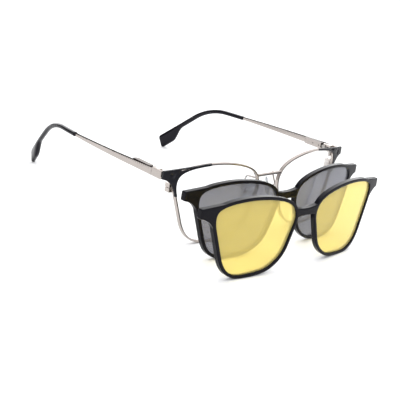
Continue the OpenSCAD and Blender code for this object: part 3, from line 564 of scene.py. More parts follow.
def eased(loop, radius, where=None):
    """Turns each corner, or those that where() picks, into an arc of this radius in mm. Two corners
    that share a short edge share its length; a needle point stays as it is."""
    turns = np.abs(turn_angles(loop))
    picked = (turns > SHARP) & (turns < NEEDLE) & np.array([not where or where(p) for p in loop])
    need = np.where(picked, np.tan(turns / 2), 0.0)
    points = []
    for i, turn in enumerate(turns):
        j = (i + 1) % len(loop)
        a, p, b = loop[i - 1], loop[i], loop[j]
        if not picked[i]:
            points.append(p)
            continue
        to_a, to_b = a - p, b - p
        cut = min(radius * need[i], EDGE_SHARE * math.hypot(*to_a) * need[i] / (need[i] + need[i - 1]),
                  EDGE_SHARE * math.hypot(*to_b) * need[i] / (need[i] + need[j]))
        start, end = p + to_a / math.hypot(*to_a) * cut, p + to_b / math.hypot(*to_b) * cut
        count = max(3, math.ceil(turn / ARC_STEP))
        r = cut / math.tan(turn / 2)
        middle = (start + end) / 2
        centre = p + (middle - p) * (r / math.cos(turn / 2)) / math.hypot(*(middle - p))
        first = math.atan2(*(start - centre)[::-1])
        sweep = math.atan2(*(end - centre)[::-1]) - first
        sweep = (sweep + math.pi) % (2 * math.pi) - math.pi
        for k in range(count + 1):
            angle = first + sweep * k / count
            points.append(centre + r * np.array([math.cos(angle), math.sin(angle)]))
    return np.array(points)


def smoothed(loop, step=0.4):
    """A curve through the outline's points, with a point about every step mm. Corners stay, and
    where a much longer run meets a short one, the curve takes the longer run's direction."""
    before, after = np.roll(loop, 1, 0), np.roll(loop, -1, 0)
    into, out = loop - before, after - loop
    into_l, out_l = lengths(into), lengths(out)
    into_d, out_d = into / into_l, out / out_l
    mean = into_d * out_l + out_d * into_l
    mean = np.where(out_l > MUCH_LONGER * into_l, out_d, mean)
    mean = np.where(into_l > MUCH_LONGER * out_l, into_d, mean)
    mean /= lengths(mean)
    corner = (np.abs(turn_angles(loop)) > SHARP)[:, None]
    leave = np.where(corner, out_d, mean)
    arrive = np.roll(np.where(corner, into_d, mean), -1, 0)
    points = []
    for i in range(len(loop)):
        count = max(1, int(round(out_l[i, 0] / step)))
        t = (np.arange(count) / count)[:, None]
        m, n = leave[i] * out_l[i], arrive[i] * out_l[i]
        points.append((2 * t ** 3 - 3 * t ** 2 + 1) * loop[i] + (t ** 3 - 2 * t ** 2 + t) * m
                      + (3 * t ** 2 - 2 * t ** 3) * after[i] + (t ** 3 - t ** 2) * n)
    return np.vstack(points)


def outlines(node, sheet, depth, radius=0.0, where=None, step=0.4):
    """The outlines of a solid at one depth, cleaned, with eased corners, and evenly divided."""
    loops = [cleaned(loop) for loop in face_loops(node, sheet, depth)]
    if radius:
        loops = [eased(loop, radius, where) for loop in loops]
    return [smoothed(loop, step) for loop in loops]


print("after cleaning:", [len(cleaned(loop)) for loop in lens_loops])


# %% [markdown]
# ## Drawing in and filling
# To round an edge, the outline is repeated a little further inside the material, as a file takes off a
# corner. Where a corner is tighter than that distance, its short edges would turn round, so they
# shrink to a point. The face itself is filled with a net of small triangles: a single large polygon
# would stay flat when the plate is bent, and its corners would show in the reflections.

# %% Draw an outline in and fill a face
DRAW_PASSES = 20
LEAST_MITRE = 0.5
ROW_SPACING = 0.87
RIM_CLEARANCE = 0.45
COINCIDE = 1e-7


def drawn_in(loop, distance):
    """The outline moved into its material, which lies on its left. Edges that would turn round
    where a corner is tighter than the distance shrink to a point."""
    into = loop - np.roll(loop, 1, 0)
    out = np.roll(loop, -1, 0) - loop
    into, out = into / lengths(into), out / lengths(out)
    left_in = np.stack([-into[:, 1], into[:, 0]], 1)
    left_out = np.stack([-out[:, 1], out[:, 0]], 1)
    share = 1 + np.sum(left_in * left_out, axis=1)[:, None]
    moved = loop + distance * (left_in + left_out) / np.maximum(share, LEAST_MITRE)
    old, count = np.roll(loop, -1, 0) - loop, len(loop)
    for _ in range(DRAW_PASSES):
        along = np.sum((np.roll(moved, -1, 0) - moved) * old, axis=1)
        if not (along < -TINY).any():
            break
        gone = along < TINY
        for i in np.flatnonzero(gone & ~np.roll(gone, 1)):
            run = [i]
            while gone[run[-1] % count]:
                run.append(run[-1] + 1)
            run = [k % count for k in run]
            moved[run] = (moved[run[0]] + moved[run[-1]]) / 2
    return moved


def inside(points, loops):
    hit = np.zeros(len(points), bool)
    for loop in loops:
        for a, b in zip(loop, np.roll(loop, -1, 0)):
            if a[1] == b[1]:
                continue
            crosses = (points[:, 1] >= min(a[1], b[1])) & (points[:, 1] < max(a[1], b[1]))
            at = a[0] + (points[:, 1] - a[1]) * (b[0] - a[0]) / (b[1] - a[1])
            hit ^= crosses & (points[:, 0] < at)
    return hit


def filled(loops, grid):
    """Triangles over a face: points (the loops' own first) and index triples."""
    rim = np.vstack(loops)
    low, high = rim.min(0), rim.max(0)
    rows = np.arange(low[1] + grid / 2, high[1], grid * ROW_SPACING)
    spots = [(x + (k % 2) * grid / 2, z) for k, z in enumerate(rows)
             for x in np.arange(low[0] + grid / 2, high[0], grid)]
    spots = np.array(spots).reshape(-1, 2)
    spots = spots[inside(spots, loops)]
    far_off = [np.min(np.sum((rim - spot) ** 2, axis=1)) > (RIM_CLEARANCE * grid) ** 2 for spot in spots]
    points = np.vstack([rim, spots[np.array(far_off, bool)]])
    borders, start = [], 0
    for loop in loops:
        count = len(loop)
        borders += [(start + i, start + (i + 1) % count) for i in range(count)]
        start += count
    spread, edges, faces, origin, border_of, _ = delaunay_2d_cdt(
        [Vector(p) for p in points], borders, [], 0, COINCIDE)
    fixed = {frozenset(edge) for edge, of in zip(edges, border_of) if of}
    beside = {}
    for n, face in enumerate(faces):
        for i in range(3):
            beside.setdefault(frozenset((face[i], face[i - 1])), []).append(n)
    covered, waiting = {}, []
    for edge, owners in beside.items():
        if len(owners) == 1 and owners[0] not in covered:
            covered[owners[0]] = edge in fixed
            waiting.append(owners[0])
    while waiting:
        n = waiting.pop()
        for i in range(3):
            edge = frozenset((faces[n][i], faces[n][i - 1]))
            for other in beside[edge]:
                if other not in covered:
                    covered[other] = covered[n] != (edge in fixed)
                    waiting.append(other)
    first = [given[0] if given else -1 for given in origin]
    kept = [[first[i] for i in face] for n, face in enumerate(faces) if covered[n]]
    crossed = [tuple(round(c, 2) for c in p) for p, k in zip(spread, first) if k < 0]
    if crossed:
        print("an outline crosses itself near", crossed[:4])
    return points, [face for face in kept if min(face) >= 0]


# %% [markdown]
# ## One plate from two rims and two faces
# The rings of both rims, the wall between them and the two filled faces make one closed skin. A
# pocket, such as a magnet's seat, is a hole in a face with a wall and a floor of its own. Building the
# plate as one skin, and not cutting it with booleans, keeps every edge clean for the export.

# %% Stack the rings
def plate(loops, near, far, soft_near, soft_far, place, grid=1.6, steps=4,
          near_pockets=(), far_pockets=(), sink=0.3, bm=None):
    """A plate between two depths in mm, with round edges, put in place by place(u, v, depth).
    A pocket is an outline in a face that goes sink mm deep."""
    bm = bm or bmesh.new()
    turns = [math.radians(90 * k / steps) for k in range(steps + 1)]
    rings = [(soft_near * (1 - math.sin(a)), near + soft_near * (1 - math.cos(a))) for a in turns]
    rings += [(soft_far * (1 - math.cos(a)), far - soft_far * (1 - math.sin(a))) for a in turns]

    def ring(loop, depth):
        return [bm.verts.new(place(*p, depth)) for p in loop]

    def wall(lower, upper):
        for i in range(len(lower)):
            j = (i + 1) % len(lower)
            bm.faces.new((lower[i], lower[j], upper[j], upper[i]))

    def cap(loops_here, rings_here, depth):
        points, faces = filled(loops_here, grid)
        verts = [v for one in rings_here for v in one]
        verts += [bm.verts.new(place(*p, depth)) for p in points[len(verts):]]
        for face in faces:
            bm.faces.new([verts[i] for i in face])

    stack = [[ring(drawn_in(loop, draw), depth) for loop in loops] for draw, depth in rings]
    for lower, upper in zip(stack, stack[1:]):
        for a, b in zip(lower, upper):
            wall(a, b)
    for k, pockets, inwards in ((0, near_pockets, 1), (-1, far_pockets, -1)):
        draw, depth = rings[k]
        mouths = [ring(p, depth) for p in pockets]
        cap([drawn_in(loop, draw) for loop in loops] + list(pockets), stack[k] + mouths, depth)
        for pocket, mouth in zip(pockets, mouths):
            floor = ring(pocket, depth + inwards * sink)
            wall(mouth, floor)
            cap([pocket], [floor], depth + inwards * sink)
    return bm


SKIN_MERGE = 0.0005 * MM
FACE_WEIGHT = 80


def to_piece(name, bm, body, slot, stands_for, paint=None):
    """Closes a mesh, gives it its finish and its body, and lets it stand for the solids it covers."""
    bmesh.ops.remove_doubles(bm, verts=bm.verts, dist=SKIN_MERGE)
    bmesh.ops.recalc_face_normals(bm, faces=bm.faces)
    open_edges = sum(not e.is_manifold for e in bm.edges)
    mesh = bpy.data.meshes.new(name)
    bm.to_mesh(mesh)
    bm.free()
    print(f"{name}: {len(mesh.polygons)} faces, {open_edges} open edges")
    dress(name, mesh, body, slot, stands_for, paint=paint)


def dress(name, mesh, body, slot, stands_for, even=True, paint=None):
    """A finished mesh as a piece that moves with its body."""
    mesh.shade_smooth()
    mesh.materials.clear()
    mesh.materials.append(paint or PAINTS[slot])
    piece = bpy.data.objects.new(name, mesh)
    bpy.context.scene.collection.objects.link(piece)
    if even:
        piece.modifiers.new("even_shading", "WEIGHTED_NORMAL").weight = FACE_WEIGHT
    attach(piece, body)
    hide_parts(*stands_for)
    return piece


# %% [markdown]
# ## The clip-on frames
# Each clip-on is one moulding: two rims, the bridge between them and the upswept ends that hold the
# magnets. Its edges are gently rounded, those of the back a little less. The outline of its front
# face, with both openings, comes from the frame, and the plate is bent round the face as one. The
# magnets sit in pockets of the back, whose outlines are read from the back face.

# %% Make both clip-on frames
CLIP_SOFT_FRONT = 0.45
CLIP_SOFT_BACK = 0.3
CLIP_CORNER = 0.7
CLIP_DEPTH = 3.0
POCKET_AREA = 6.0


def small(loops):
    """Those outlines that are small enough to be a magnet's pocket or seat."""
    return [loop for loop in loops if abs(area(loop)) < POCKET_AREA]


clip_sheets = {}
for clip in ("grey", "yellow"):
    low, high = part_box(f"{clip}_clip_frame")
    sheet = FrontSheet((low[0] + high[0]) / 2, low[1])
    clip_sheets[clip] = sheet
    node = f"{clip}_clip_frame"
    pockets = small(outlines(node, sheet, CLIP_DEPTH))
    moulding = plate(outlines(node, sheet, 0, CLIP_CORNER), 0, CLIP_DEPTH, CLIP_SOFT_FRONT,
                     CLIP_SOFT_BACK, sheet.world, far_pockets=pockets)
    to_piece(f"{clip}_clip_moulding", moulding, f"{clip}_clip", "black_frame", [node])
    print(clip, "pockets:", len(pockets))


# %% [markdown]
# ## The lenses
# A lens is ground to the outline of its groove and its rim is polished to a small bevel. The filled
# plate makes that too: the face has points all over, so the sheet stays truly round when it bends.

# %% Make the clip-on lenses and the clear lenses
LENS_BEVEL = 0.12
LENS_GRID = 2.4


def layer_of(node, sheet):
    """The two depths, in mm, between which a bent plate lies."""
    depths = [sheet.flat(v.co)[2] for v in nodes[node].data.vertices]
    return min(depths), max(depths)


def make_lens(node, sheet, body, slot):
    near, far = layer_of(node, sheet)
    blank = plate(outlines(node, sheet, near), near, far, LENS_BEVEL, LENS_BEVEL, sheet.world,
                  grid=LENS_GRID, steps=2)
    to_piece(node.replace("lens", "lens_blank"), blank, body, slot, [node])


for name, side in SIDES.items():
    make_lens(f"lens_{name}", front_sheets[name], "front", "clear_lens")
    for clip, middle in clip_sheets.items():
        sheet = FrontSheet(middle.middle, middle.front, side)
        make_lens(f"{clip}_clip_lens_{name}", sheet, f"{clip}_clip", f"{clip}_lens")


# %% [markdown]
# ## The corner trims
# A trim is a thin black cap over the upper outer corner of the eyewire. Its skin lies in front of the
# metal, a rim behind the skin grips the eyewire from outside, and a round boss holds the magnet. Three
# plates that share one bend make it. The slit between brow wing and eyewire runs through, and because
# the cap is thin there, the pale metal behind it shows. In front is a shallow seat for the clip-on.

# %% Make the trims
TRIM_SOFT = 0.22
TRIM_CORNER = 0.5
TRIM_SKIN = 0.6
TRIM_RIM = 0.5
SEAT_SINK = 0.04
SLIT_WIDER = 0.18
SKIN_OVERLAP = 0.02
BOSS_WALL = 0.75
BOSS_START = 0.1
BOSS_DEPTH = 2.2
BOSS_SOFT = 0.15
EYEWIRE_DEPTH = 2.2
ROUND_WITHIN = 0.2


def is_round(loop):
    """As wide as it is tall, within a fifth."""
    wide, tall = np.ptp(loop[:, 0]), np.ptp(loop[:, 1])
    return (1 - ROUND_WITHIN) * tall < wide < (1 + ROUND_WITHIN) * tall


for name, sheet in front_sheets.items():
    node = f"corner_trim_{name}"
    face = outlines(node, sheet, -TRIM_SKIN, TRIM_CORNER)
    seats = [loop for loop in small(face) if is_round(loop)]
    slits = [drawn_in(loop, SLIT_WIDER) for loop in face[1:] if not is_round(loop)]
    back = outlines(node, sheet, EYEWIRE_DEPTH)
    pockets = [loop for loop in small(back) if is_round(loop)]
    trim = plate(face[:1] + slits, -TRIM_SKIN, SKIN_OVERLAP, TRIM_SOFT, 0.0, sheet.world,
                 near_pockets=seats, sink=SEAT_SINK)
    plate(back[:1], 0.0, TRIM_RIM, 0.0, 0.0, sheet.world, bm=trim)
    boss = drawn_in(pockets[0], BOSS_WALL)[::-1]
    plate([boss], BOSS_START, BOSS_DEPTH, 0.0, BOSS_SOFT, sheet.world, far_pockets=pockets, bm=trim)
    to_piece(f"brow_cap_{name}", trim, "front", "black_trim", [node])
    print(node, "seat", len(seats), "pocket", len(pockets), "slit", round(-area(slits[0]), 2), "mm2")


# %% [markdown]
# ## Temples and tips
# A temple is a flat bar that narrows from the hinge to the ear and bows softly in plan. Its thin core
# runs on into the black tip, which is a thicker sheet with strongly rounded edges that bends down
# behind the ear and widens to a paddle. Both are plates again, this time on the temple's own sheet:
# seen from the side they are flat outlines, and the sheet's bow is added when they are put in place.
# A filed tip is thicker in its middle than at its edges, and the heel of its paddle is rounder than
# the other corners.

# %% Make the temples and their tips
TEMPLE_SOFT = 0.28
CORE_T = 0.9
CORE_SOFT = 0.2
TIP_T = 2.3
TIP_SOFT = 0.88
TIP_GRID = 0.8
TIP_STEPS = 7
TIP_CORNER = 0.95
HEEL_CORNER = 2.6
HEEL_ABOVE = -33.0
HEEL_BEHIND = 150.0
TIP_CROWN = 0.75
CROWN_REACH = 3.2


def crowned(sheet, rim):
    """Places points on the sheet, thicker the further they are inside the outline."""
    def place(u, v, w):
        inner = min(float(np.min(np.hypot(rim[:, 0] - u, rim[:, 1] - v))) / CROWN_REACH, 1.0)
        return sheet.world(u, v, w * (1 + TIP_CROWN * (1 - (1 - inner) ** 2)))
    return place


for name, sheet in temple_sheets.items():
    node = f"temple_{name}"
    bar = plate(outlines(node, sheet, ARM_T / MM / 2), -ARM_T / MM / 2, ARM_T / MM / 2, TEMPLE_SOFT,
                TEMPLE_SOFT, sheet.world)
    core = outlines(node, sheet, CORE_T / 2)
    plate(core[:1], -CORE_T / 2, CORE_T / 2, CORE_SOFT, CORE_SOFT, sheet.world, bm=bar)
    to_piece(f"temple_bar_{name}", bar, f"temple_{name}", "frame_metal", [node], paint=TEMPLE_PAINT)
    node = f"temple_tip_{name}"
    loops = [eased(cleaned(loop), HEEL_CORNER, lambda p: p[0] > HEEL_BEHIND and p[1] > HEEL_ABOVE)
             for loop in face_loops(node, sheet, TIP_T / 2)]
    loops = [smoothed(eased(loop, TIP_CORNER)) for loop in loops]
    tip = plate(loops, -TIP_T / 2, TIP_T / 2, TIP_SOFT, TIP_SOFT, crowned(sheet, loops[0]),
                grid=TIP_GRID, steps=TIP_STEPS)
    to_piece(f"ear_tip_{name}", tip, f"temple_{name}", "black_tip", [node])


# %% [markdown]
# ## The end pieces
# An end piece is a strip of metal that is bent back from the front to the hinge. Seen from above it is
# an L with a round knee, so it is made in plan: the outline is read from its top face, the knee is
# eased, and the plate stands upright.

# %% Make the end pieces
END_SOFT = 0.25
KNEE_RADIUS = 1.3
KNEE_BEFORE = 15.0


class PlanSheet:
    """A flat sheet seen from above: sideways, back, and height."""

    def __init__(self, side):
        self.side = side

    def flat(self, p):
        return p[0] * self.side / MM, p[1] / MM, p[2] / MM

    def world(self, u, v, w):
        return self.side * u * MM, v * MM, w * MM


for name, side in SIDES.items():
    node = f"end_piece_{name}"
    plan = PlanSheet(side)
    bottom, top = (corner[2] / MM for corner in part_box(node))
    strip = plate(outlines(node, plan, top, KNEE_RADIUS, lambda p: p[1] < KNEE_BEFORE), bottom, top,
                  END_SOFT, END_SOFT, plan.world)
    to_piece(f"end_strip_{name}", strip, "front", "frame_metal", [node], paint=TOP_TONED_PAINT)


# %% [markdown]
# ## Milled and turned parts
# Hinge leaves, plungers, spring boxes, closing blocks and magnets keep the exact shape of the
# construction, because their holes and gaps have to fit, but tumbling has broken their edges. A CAD
# mesh is loose triangles, so a copy is merged and its flat faces are joined before a Bevel modifier
# can see where the real edges are.

# %% Break the edges of a copied solid
COPY_MERGE = 0.002 * MM
NEARLY_FLAT = math.radians(1)
REAL_EDGE = math.radians(35)
BLOCK_SOFT = 0.22
LEAF_SOFT = 0.12
PLUNGER_SOFT = 0.1
CASE_SOFT = 0.28
MAGNET_SOFT = 0.14


def softened(name, node, body, slot, width, paint=None):
    """A copy of a solid with edges rounded over this width in mm, which stands for the solid."""
    bm = bmesh.new()
    bm.from_mesh(nodes[node].data)
    bmesh.ops.remove_doubles(bm, verts=bm.verts, dist=COPY_MERGE)
    bmesh.ops.dissolve_limit(bm, angle_limit=NEARLY_FLAT, verts=bm.verts, edges=bm.edges)
    mesh = bpy.data.meshes.new(name)
    bm.to_mesh(mesh)
    bm.free()
    piece = dress(name, mesh, body, slot, [node], even=False, paint=paint)
    edges = piece.modifiers.new("broken_edges", "BEVEL")
    edges.width = width * MM
    edges.segments = 3
    edges.limit_method = "ANGLE"
    edges.angle_limit = REAL_EDGE
    piece.modifiers.new("even_shading", "WEIGHTED_NORMAL").weight = FACE_WEIGHT


for name in SIDES:
    softened(f"closing_barrel_{name}", f"closing_block_{name}", "front", "frame_metal", BLOCK_SOFT)
    softened(f"leaf_{name}", f"hinge_leaf_{name}", "front", "frame_metal", LEAF_SOFT)
    softened(f"spring_plunger_{name}", f"plunger_{name}", f"hinge_{name}", "screw_steel", PLUNGER_SOFT)
    softened(f"spring_case_{name}", f"spring_box_{name}", f"temple_{name}", "frame_metal", CASE_SOFT,
             paint=CASE_PAINT)
    softened(f"trim_magnet_{name}", f"frame_magnet_{name}", "front", "magnet_metal", MAGNET_SOFT)
    for clip in clip_sheets:
        softened(f"{clip}_magnet_{name}", f"{clip}_clip_magnet_{name}", f"{clip}_clip", "magnet_metal",
                 MAGNET_SOFT)


# %% [markdown]
# ## Trees for drawn and turned metal
# Wires, springs and screws follow rules: a profile is drawn along a path, a wire is wound, a half
# outline is turned round an axis. Geometry Nodes state such a rule once and take the sizes as named
# inputs. Each result is turned into a plain mesh, and its modifier is gone before it joins the frame.

# %% Build and run a geometry tree
TREE_MERGE = 0.001 * MM


def new_tree(name, **inputs):
    """An empty tree with its named inputs, a finish and a geometry in and out."""
    tree = bpy.data.node_groups.new(name, "GeometryNodeTree")
    tree.interface.new_socket("Geometry", in_out="INPUT", socket_type="NodeSocketGeometry")
    for label, value in inputs.items():
        socket = tree.interface.new_socket(label, in_out="INPUT", socket_type="NodeSocketFloat")
        socket.default_value = value
    tree.interface.new_socket("Finish", in_out="INPUT", socket_type="NodeSocketMaterial")
    tree.interface.new_socket("Geometry", in_out="OUTPUT", socket_type="NodeSocketGeometry")
    return tree, tree.nodes.new("NodeGroupInput")


def add(tree, kind, links=(), **values):
    """A node with its settings; a link gives the name of a socket and what feeds it."""
    node = tree.nodes.new(kind)
    for label, value in values.items():
        if label in node.bl_rna.properties:
            setattr(node, label, value)
        else:
            node.inputs[label.replace("_", " ")].default_value = value
    for label, source in links:
        tree.links.new(source, node.inputs[label])
    return node


def maths(tree, operation, first, second=None):
    """The outcome of one math node; its terms are numbers or sockets."""
    node = tree.nodes.new("ShaderNodeMath")
    node.operation = operation
    for i, source in enumerate((first, second)):
        if isinstance(source, (int, float)):
            node.inputs[i].default_value = source
        elif source is not None:
            tree.links.new(source, node.inputs[i])
    return node.outputs[0]


def close_tree(tree, start, geometry):
    real = add(tree, "GeometryNodeRealizeInstances", [("Geometry", geometry)])
    paint = add(tree, "GeometryNodeSetMaterial", [("Geometry", real.outputs[0]),
                                                  ("Material", start.outputs["Finish"])])
    add(tree, "NodeGroupOutput", [("Geometry", paint.outputs[0])])
    return tree


def path_mesh(points):
    """Points in mm, each joined to the next, for a tree to start from."""
    mesh = bpy.data.meshes.new("path")
    edges = [(i, i + 1) for i in range(len(points) - 1)]
    mesh.from_pydata([tuple(c * MM for c in p) for p in points], edges, [])
    return mesh


def run_tree(tree, source, paint, **values):
    """The tree's result as a plain mesh with outward normals; its sizes are in metres."""
    worker = bpy.data.objects.new("worker", source)
    bpy.context.scene.collection.objects.link(worker)
    modifier = worker.modifiers.new("rule", "NODES")
    modifier.node_group = tree
    for socket in tree.interface.items_tree:
        if socket.in_out == "INPUT" and socket.name in values:
            modifier[socket.identifier] = values[socket.name]
        if socket.in_out == "INPUT" and socket.name == "Finish":
            modifier[socket.identifier] = PAINTS[paint]
    graph = bpy.context.evaluated_depsgraph_get()
    graph.update()
    mesh = bpy.data.meshes.new_from_object(worker.evaluated_get(graph))
    worker.modifiers.remove(modifier)
    bpy.data.objects.remove(worker)
    bm = bmesh.new()
    bm.from_mesh(mesh)
    bmesh.ops.remove_doubles(bm, verts=bm.verts, dist=TREE_MERGE)
    bmesh.ops.recalc_face_normals(bm, faces=bm.faces)
    open_edges = sum(not e.is_manifold for e in bm.edges)
    print(f"{tree.name}: {len(bm.faces)} faces, {open_edges} open edges")
    bm.to_mesh(mesh)
    bm.free()
    return mesh


# %% [markdown]
# ## The eyewires
# An eyewire is a drawn wire with a flat, softly rounded profile, bent round the lens and closed by a
# screw, so it has a start and an end at the closing blocks. The tree draws the profile along the flat
# outline and then bends the result round the face, just as the plates are bent.

# %% The tree that draws and bends an eyewire
def eyewire_tree():
    tree, start = new_tree("eyewire", Width=0.001, Depth=0.002, Edge=0.0003, Bend=0.3, Side=1.0)
    path = add(tree, "GeometryNodeMeshToCurve", [("Mesh", start.outputs["Geometry"])])
    level = add(tree, "GeometryNodeSetCurveNormal", [("Curve", path.outputs[0])], mode="Z_UP")
    strip = add(tree, "GeometryNodeCurvePrimitiveQuadrilateral",
                [("Width", start.outputs["Width"]), ("Height", start.outputs["Depth"])])
    profile = add(tree, "GeometryNodeFilletCurve", [("Curve", strip.outputs[0]),
                                                   ("Radius", start.outputs["Edge"])], mode="POLY", Count=4)
    drawn = add(tree, "GeometryNodeCurveToMesh", [("Curve", level.outputs[0]),
                                                  ("Profile Curve", profile.outputs[0])], Fill_Caps=True)
    spot = add(tree, "GeometryNodeInputPosition")
    place = add(tree, "ShaderNodeSeparateXYZ", [("Vector", spot.outputs[0])])
    bend = start.outputs["Bend"]
    depth = maths(tree, "POWER", maths(tree, "SUBTRACT", bend, place.outputs["Z"]), 2)
    across = maths(tree, "POWER", maths(tree, "ABSOLUTE", place.outputs["X"]), 2)
    back = maths(tree, "SUBTRACT", bend, maths(tree, "SQRT", maths(tree, "SUBTRACT", depth, across)))
    side = maths(tree, "MULTIPLY", place.outputs["X"], start.outputs["Side"])
    moved = add(tree, "ShaderNodeCombineXYZ", [("X", side), ("Y", back), ("Z", place.outputs["Y"])])
    bent = add(tree, "GeometryNodeSetPosition", [("Geometry", drawn.outputs[0]),
                                                 ("Position", moved.outputs[0])])
    return close_tree(tree, start, bent.outputs[0])


EYEWIRE = eyewire_tree()
print("inputs:", [socket.name for socket in EYEWIRE.interface.items_tree if socket.in_out == "INPUT"])


# %% [markdown]
# ## The line that an eyewire follows
# The wire's middle lies a little outside the lens, so its path is the lens outline moved outwards.
# It is cut open on the outer side, where the closing block holds both ends of the real wire. One
# tree then draws both sides, and the Side input mirrors the right-hand one.

# %% Make both eyewires
EYEWIRE_WIDTH = 1.1
EYEWIRE_EDGE = 0.32
LENS_TO_WIRE = 0.13
CUT_HEIGHT = 32.1
CUT_GAP = 0.25
cut_z = floor_z / MM + CUT_HEIGHT


def opened(loop, height, gap):
    """The outline cut open on its outer side, from above the gap round to below it."""
    after, outer = np.roll(loop, -1, 0), loop[:, 0].mean()
    i = next(k for k in range(len(loop)) if loop[k, 0] > outer and loop[k, 1] <= height < after[k, 1])
    a, b = loop[i], after[i]
    ends = [a + (b - a) * (height + way * gap / 2 - a[1]) / (b[1] - a[1]) for way in (1, -1)]
    rest = np.roll(loop, -(i + 1), 0)
    rest = rest[(np.abs(rest[:, 1] - height) > gap) | (rest[:, 0] < outer)]
    return np.vstack([ends[0], rest, ends[1]])


wire_lines = {}
for name, sheet in front_sheets.items():
    near = layer_of(f"lens_{name}", sheet)[0]
    line = drawn_in(outlines(f"lens_{name}", sheet, near, step=0.5)[0], -LENS_TO_WIRE)
    wire_lines[name] = line
    path = [(u, v, EYEWIRE_DEPTH / 2) for u, v in opened(line, cut_z, CUT_GAP)]
    mesh = run_tree(EYEWIRE, path_mesh(path), "frame_metal", Width=EYEWIRE_WIDTH * MM,
                    Depth=EYEWIRE_DEPTH * MM, Edge=EYEWIRE_EDGE * MM, Bend=FRONT_BEND_R,
                    Side=float(SIDES[name]))
    dress(f"eyewire_{name}", mesh, "front", "frame_metal", [f"rim_{name}"], paint=TOP_TONED_PAINT)


# %% [markdown]
# ## The bridge
# The bridge is a short bar, soldered in between the eyewires. Solder creeps into the corner and leaves
# a small flare there. A row of rounded rectangles along the bar, a little taller at both ends, gives
# bar and flare in one closed skin.

# %% Loft the bridge bar
BRIDGE_FLARE = 0.3
FLARE_LENGTH = 0.9
BRIDGE_INTO_WIRE = 0.3
BRIDGE_EDGE = 0.35
BRIDGE_STATIONS = 41


def loft(stations, corner_steps=4):
    """Skins rounded rectangles (x, y, z, half depth, half height, corner radius), all in mm."""
    bm = bmesh.new()
    rings = []
    for x, y, z, half_y, half_z, r in stations:
        ring = []
        for quarter in range(4):
            cy = (half_y - r) * (1 if quarter in (0, 3) else -1)
            cz = (half_z - r) * (1 if quarter < 2 else -1)
            for k in range(corner_steps + 1):
                a = math.radians(90 * (quarter + k / corner_steps))
                ring.append(bm.verts.new((x * MM, (y + cy + r * math.cos(a)) * MM,
                                          (z + cz + r * math.sin(a)) * MM)))
        rings.append(ring)
    for lower, upper in zip(rings, rings[1:]):
        for i in range(len(lower)):
            j = (i + 1) % len(lower)
            bm.faces.new((lower[i], lower[j], upper[j], upper[i]))
    bm.faces.new(rings[0])
    bm.faces.new(rings[-1])
    return bm


low, high = (np.array(corner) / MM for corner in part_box("bridge"))
half_d, half_h = (high[1] - low[1]) / 2, (high[2] - low[2]) / 2
middle = (low[1] + high[1]) / 2, (low[2] + high[2]) / 2
stations = []
for x in np.linspace(low[0] - BRIDGE_INTO_WIRE, high[0] + BRIDGE_INTO_WIRE, BRIDGE_STATIONS):
    from_end = min(x - low[0], high[0] - x)
    flare = BRIDGE_FLARE * max(0.0, 1 - max(from_end, 0.0) / FLARE_LENGTH) ** 2
    stations.append((x, *middle, half_d, half_h + flare, BRIDGE_EDGE))
to_piece("bridge_bar", loft(stations), "front", "frame_metal", ["bridge"], paint=TOP_TONED_PAINT)


# %% [markdown]
# ## Nose pads and their arms
# Each arm is one bent wire that ends in a small folded clip, and a screw through the clip holds the
# pad's boss so loosely that the pad can rock. The pad is a soft oval cushion of clear silicone with a
# crowned face. Clip, screw and pad are all made in the pad's own frame, where the nose side faces -X
# and the long axis runs along Z, and are then turned and mirrored into place.

# %% The pad's own frame
PAD_TURN = math.radians(-32)
PAD_LEAN = math.radians(-12)
pad_joints = [joint for joint in frame["joints"] if "pad" in joint["name"]]
pad_pivots = {joint["child"].split("_")[1]: Vector(joint["pos_m"]) for joint in pad_joints}


def pad_frame(name):
    """Where a pad sits and how it is turned, mirrored for the right-hand one."""
    at = pad_pivots[name].copy()
    at.x = abs(at.x)
    turned = Matrix.Translation(at) @ Matrix.Rotation(PAD_TURN, 4, "Z") @ Matrix.Rotation(PAD_LEAN, 4, "Y")
    return Matrix.Diagonal((SIDES[name], 1, 1, 1)) @ turned


def in_frame(matrix, axes):
    """A place function for plates: puts u, v and depth on three axes of a frame."""
    def place(u, v, w):
        spot = [0.0, 0.0, 0.0]
        for axis, value in zip(axes, (u, v, w)):
            spot[axis] = value * MM
        return matrix @ Vector(spot)
    return place


print("pads turn on", {k: [round(c / MM, 2) for c in v] for k, v in pad_pivots.items()})


# %% [markdown]
# ## The pad arms
# An arm is a piece of round wire, bent in two places and soldered to the back of the eyewire, with a
# folded strip at its end that takes the pad's boss. Four points and a bending radius say it all, so a
# tree with a Fillet Curve node bends the wire, and the folded strip is a small plate.

# %% The tree for a bent round wire, and both arms
WIRE_RADIUS = 0.5
WIRE_BEND = 1.1
ARM_HEIGHT = 34.0
ARM_IN_EYEWIRE = 0.6
FIRST_BEND = Vector((1.4, 0.6, -0.4))
SECOND_BEND = Vector((3.6, 0.2, 1.6))
CLIP_HALF = 1.1
CLIP_T = 0.4
CLIP_BACK = 1.6
CLIP_FRONT = -0.9
CLIP_REACH = 1.0
CLIP_SOFT = 0.12
FOLD_RADIUS = 0.3


def bent_wire_tree():
    tree, start = new_tree("bent_wire", Radius=0.0005, Bend=0.001)
    path = add(tree, "GeometryNodeMeshToCurve", [("Mesh", start.outputs["Geometry"])])
    bent = add(tree, "GeometryNodeFilletCurve", [("Curve", path.outputs[0]),
                                                 ("Radius", start.outputs["Bend"])], mode="POLY", Count=8)
    profile = add(tree, "GeometryNodeCurvePrimitiveCircle", [("Radius", start.outputs["Radius"])],
                  Resolution=16)
    drawn = add(tree, "GeometryNodeCurveToMesh", [("Curve", bent.outputs[0]),
                                                  ("Profile Curve", profile.outputs[0])], Fill_Caps=True)
    return close_tree(tree, start, drawn.outputs[0])


